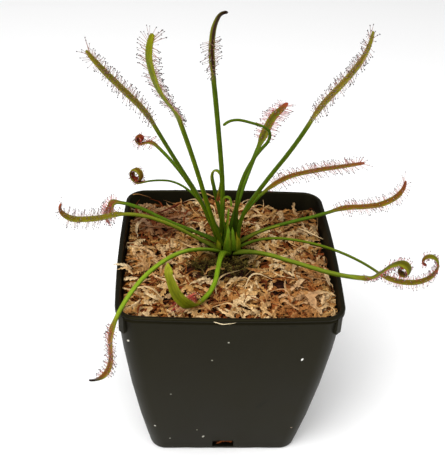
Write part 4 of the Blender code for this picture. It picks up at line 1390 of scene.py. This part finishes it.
def make_leaf(name, leaf, finish):
    """The leaf's skin from base to rounded tip, with what its finish and tentacles need to know."""
    path = leaf_path(leaf)
    rings = [leaf_ring(leaf, place) for place in path]
    end = path[-1]
    for beyond, shrink in TIP_CAP:
        rings.append(leaf_ring(leaf, end._replace(point=end.point + end.along * beyond), shrink))
    piece = add_object(name + "_skin", loft([[corner[0] for corner in ring] for ring in rings]), finish)
    _, places, blades, stickies, reaches, endings = zip(*(corner for ring in rings for corner in ring))
    for label, column in (("place", places), ("reach", reaches)):
        keep(piece.data, label, [value for vector in column for value in vector], "FLOAT_VECTOR")
    for label, column in (("blade", blades), ("sticky", stickies), ("ending", endings)):
        keep(piece.data, label, column)
    return piece


def make_leaf_finish(name):
    """Living leaf: a waxy green stalk with painted shade on its edges and foot, a red-brown sticky face, an
    olive back.
    """
    made, tree, shader = start_material("living leaf " + name)
    stalk_top, stalk_back, blade_face, blade_back, blade_end = (linear(hexa) for hexa in TINTS[name])
    place = add_node(tree, "ShaderNodeAttribute", attribute_name="place").outputs["Vector"]
    blade = add_node(tree, "ShaderNodeAttribute", attribute_name="blade").outputs["Fac"]
    ending = add_node(tree, "ShaderNodeAttribute", attribute_name="ending").outputs["Fac"]
    across, along, up = add_node(tree, "ShaderNodeSeparateXYZ", {"Vector": place}).outputs
    # Above and below: on the stalk partly painted light on low leaves and painted shade on upright ones
    limits = {"Value": up, "From Min": -0.1, "From Max": 0.4}
    facing = add_node(tree, "ShaderNodeMapRange", limits, interpolation_type="SMOOTHSTEP")
    from_middle = add_node(tree, "ShaderNodeMath", {0: across}, operation="ABSOLUTE")
    # Painted shade: the stalk darkens towards its edges
    limits = {"Value": from_middle, "From Min": 0.5, "To Max": STALK_EDGE_SHADE}
    edge = add_node(tree, "ShaderNodeMapRange", limits)
    # Painted shade: the leaf darkens towards its foot, where the leaf bases crowd round the crown
    limits = {"Value": along, "From Max": FOOT_LENGTH, "To Min": FOOT_SHADE, "To Max": 0.0}
    foot = add_node(tree, "ShaderNodeMapRange", limits)
    limits = {"Value": from_middle, "From Min": 0.3, "From Max": 0.9, "To Max": MARGIN_BLUSH}
    margin = add_node(tree, "ShaderNodeMapRange", limits)
    coats = []
    for colour, *tints in (
        (stalk_back, (facing, stalk_top), (edge, linear(STALK_EDGE_SHADE_TINT)), (foot, linear(FOOT_SHADE_TINT))),
        (blade_back, (facing, blade_face), (margin, linear(MARGIN_TINT)), (ending, blade_end)),
    ):
        for factor, tint in tints:
            layers = {0: factor, 6: colour, 7: tint}
            colour = add_node(tree, "ShaderNodeMix", layers, data_type="RGBA").outputs[2]
        coats.append(colour)
    layers = {0: blade, 6: coats[0], 7: coats[1]}
    colour = add_node(tree, "ShaderNodeMix", layers, data_type="RGBA").outputs[2]
    stretched = add_node(tree, "ShaderNodeVectorMath", {0: place, 1: LEAF_STREAKS}, operation="MULTIPLY")
    streaks = add_node(tree, "ShaderNodeTexNoise", {"Vector": stretched, "Scale": 1.8, "Detail": 3.0})
    limits = {"Value": streaks, "From Min": 0.3, "From Max": 0.7, "To Min": 0.72, "To Max": 1.28}
    value = add_node(tree, "ShaderNodeMapRange", limits)
    relief = {"Strength": 0.3, "Distance": 0.1 * MM, "Height": streaks}
    feed(tree, shader, {
        "Base Color": add_node(tree, "ShaderNodeHueSaturation", {"Color": colour, "Value": value}),
        "Roughness": 0.45,
        "Specular IOR Level": 0.03,
        "Subsurface Weight": 0.08,
        "Subsurface Scale": 0.4 * MM,
        "Normal": add_node(tree, "ShaderNodeBump", relief),
    })
    return made


def tentacle_object():
    """One tentacle, 1 mm long along +Z: a thin bent stalk that ends in an egg-shaped gland."""
    rings = []
    shares = []
    for share, radius in TENTACLE_RINGS:
        bend = Vector((TENTACLE_BEND * share * share, 0, share))
        angles = [math.tau * i / TENTACLE_SIDES for i in range(TENTACLE_SIDES)]
        rings.append([(bend + ray(angle) * radius) * MM for angle in angles])
        shares += [share] * TENTACLE_SIDES
    tentacle = add_object("tentacle", loft(rings))
    keep(tentacle.data, "share", shares)
    return tentacle


def drop_object():
    """A clear drop round the gland, with its middle where the gland is when the hair has no length."""
    bm = bmesh.new()
    segments = {"u_segments": DROP_SIDES, "v_segments": DROP_SIDES // 2 + 1}
    bmesh.ops.create_uvsphere(bm, radius=DROP_RADIUS * MM, **segments)
    bmesh.ops.translate(bm, vec=(TENTACLE_BEND * MM, 0, 0), verts=bm.verts)
    return add_object("drop", bm)


def make_tentacle_tree():
    """Hairs at even random spots on a leaf's sticky face, along its reach; or drops at their ends."""
    tree, given = start_tree("tentacles on a blade", {
        "Object": ("Tentacle",),
        "Float": ("Spacing", "Sway", "Slide", "Stretch"),
        "Int": ("Seed",),
        "Material": ("Finish",),
    })
    drawn = []
    for low, high in (HAIR_LENGTHS, (0.0, math.tau), HAIR_WIDTHS, (0.0, 1.0)):
        limits = {2: low, 3: high, "Seed": given["Seed"]}
        drawn.append(add_node(tree, "FunctionNodeRandomValue", limits, data_type="FLOAT").outputs[1])
    vary, angle, thick, tone = drawn
    limits = {0: (-1, -1, -1), 1: (1, 1, 1), "Seed": given["Seed"]}
    wander = add_node(tree, "FunctionNodeRandomValue", limits, data_type="FLOAT_VECTOR")
    swayed = add_node(tree, "ShaderNodeVectorMath", {0: wander, "Scale": given["Sway"]}, operation="SCALE")
    reach = add_node(tree, "GeometryNodeInputNamedAttribute", {"Name": "reach"}, data_type="FLOAT_VECTOR")
    full = add_node(tree, "ShaderNodeVectorMath", {0: reach}, operation="LENGTH").outputs["Value"]
    length = add_node(tree, "ShaderNodeMath", {0: full, 1: vary}, operation="MULTIPLY")
    straight = add_node(tree, "ShaderNodeVectorMath", {0: reach}, operation="NORMALIZE")
    leaning = add_node(tree, "ShaderNodeVectorMath", {0: straight, 1: swayed}, operation="ADD")
    direction = add_node(tree, "ShaderNodeVectorMath", {0: leaning}, operation="NORMALIZE")
    along = add_node(tree, "ShaderNodeVectorMath", {0: direction, "Scale": length}, operation="SCALE")
    slide = add_node(tree, "ShaderNodeVectorMath", {0: along, "Scale": given["Slide"]}, operation="SCALE")
    spots = scatter(tree, given, "sticky", HAIRS_DENSEST)
    placed = add_node(tree, "GeometryNodeSetPosition", {"Geometry": spots, "Offset": slide})
    turn = add_node(tree, "FunctionNodeAlignRotationToVector", {"Vector": direction}, axis="Z")
    about = add_node(tree, "FunctionNodeAxisAngleToRotation", {"Axis": (0, 0, 1), "Angle": angle})
    turns = {"Rotation": turn, "Rotate By": about}
    turned = add_node(tree, "FunctionNodeRotateRotation", turns, rotation_space="LOCAL")
    tall = add_node(tree, "ShaderNodeMath", {0: length, 1: 1 / MM}, operation="MULTIPLY")
    height = add_node(tree, "ShaderNodeMix", {0: given["Stretch"], 2: thick, 3: tall}, data_type="FLOAT")
    size = add_node(tree, "ShaderNodeCombineXYZ", {"X": thick, "Y": thick, "Z": height})
    shape = add_node(tree, "GeometryNodeObjectInfo", {"Object": given["Tentacle"]}).outputs["Geometry"]
    return plant(tree, given, tone, placed, Instance=shape, Rotation=turned, Scale=size)


def make_tentacle_skin(name):
    """Living hair: a pink or purplish stalk that darkens upwards to a wine-red gland."""
    made, tree, shader = start_material(f"living {name} tentacle")
    share = add_node(tree, "ShaderNodeAttribute", attribute_name="share").outputs["Fac"]
    stops = zip((0.0, 0.4, 0.85, 0.9), HAIRS[name])
    colour = set_stops(add_node(tree, "ShaderNodeValToRGB", {"Fac": share}), *stops)
    feed(tree, shader, {"Base Color": colour, "Roughness": 0.35, "Specular IOR Level": 0.2})
    return made


def make_mucilage():
    """Mucilage: clear sticky drops, as glossy as water."""
    made, tree, shader = start_material("clear mucilage")
    clear = {"Base Color": linear("FFFFFF"), "Roughness": 0.02, "IOR": 1.36, "Transmission Weight": 1.0}
    feed(tree, shader, clear)
    return made


def make_leaves():
    """Each leaf is its skin and, where it has a sticky blade, its tentacles and their drops."""
    finishes = {name: make_leaf_finish(name) for name in TINTS}
    tree = make_tentacle_tree()
    hair, drop = tentacle_object(), drop_object()
    skins, clear = {name: make_tentacle_skin(name) for name in HAIRS}, make_mucilage()
    for seed, (name, leaf) in enumerate(LEAVES.items()):
        skin = make_leaf(name, leaf, finishes[leaf.tints])
        if leaf.width > TIP_WIDTH:
            for label, shape, slide, stretch, finish in (
                ("tentacles", hair, 0.0, 1.0, skins[leaf.hairs]),
                ("drops", drop, DROP_PLACE, 0.0, clear),
            ):
                piece = grow(f"{name}_{label}", skin.data, tree, **{
                    "Tentacle": shape,
                    "Spacing": TENTACLE_SPACING,
                    "Sway": TENTACLE_SWAY,
                    "Slide": slide,
                    "Stretch": stretch,
                    "Seed": seed,
                    "Finish": finish,
                })
                declare(piece, "tentacle")
        declare(skin, "leaf", name)
    for number, leaf in enumerate(HEART_LEAVES):
        declare(make_leaf(f"heart_leaf_{number}", leaf, finishes[leaf.tints]), "leaf")
    for helper in (hair, drop):
        bpy.data.objects.remove(helper)


def main():
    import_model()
    make_camera()
    make_studio()
    make_pot()
    make_moss()
    make_live_moss()
    make_crown()
    make_leaves()


main()
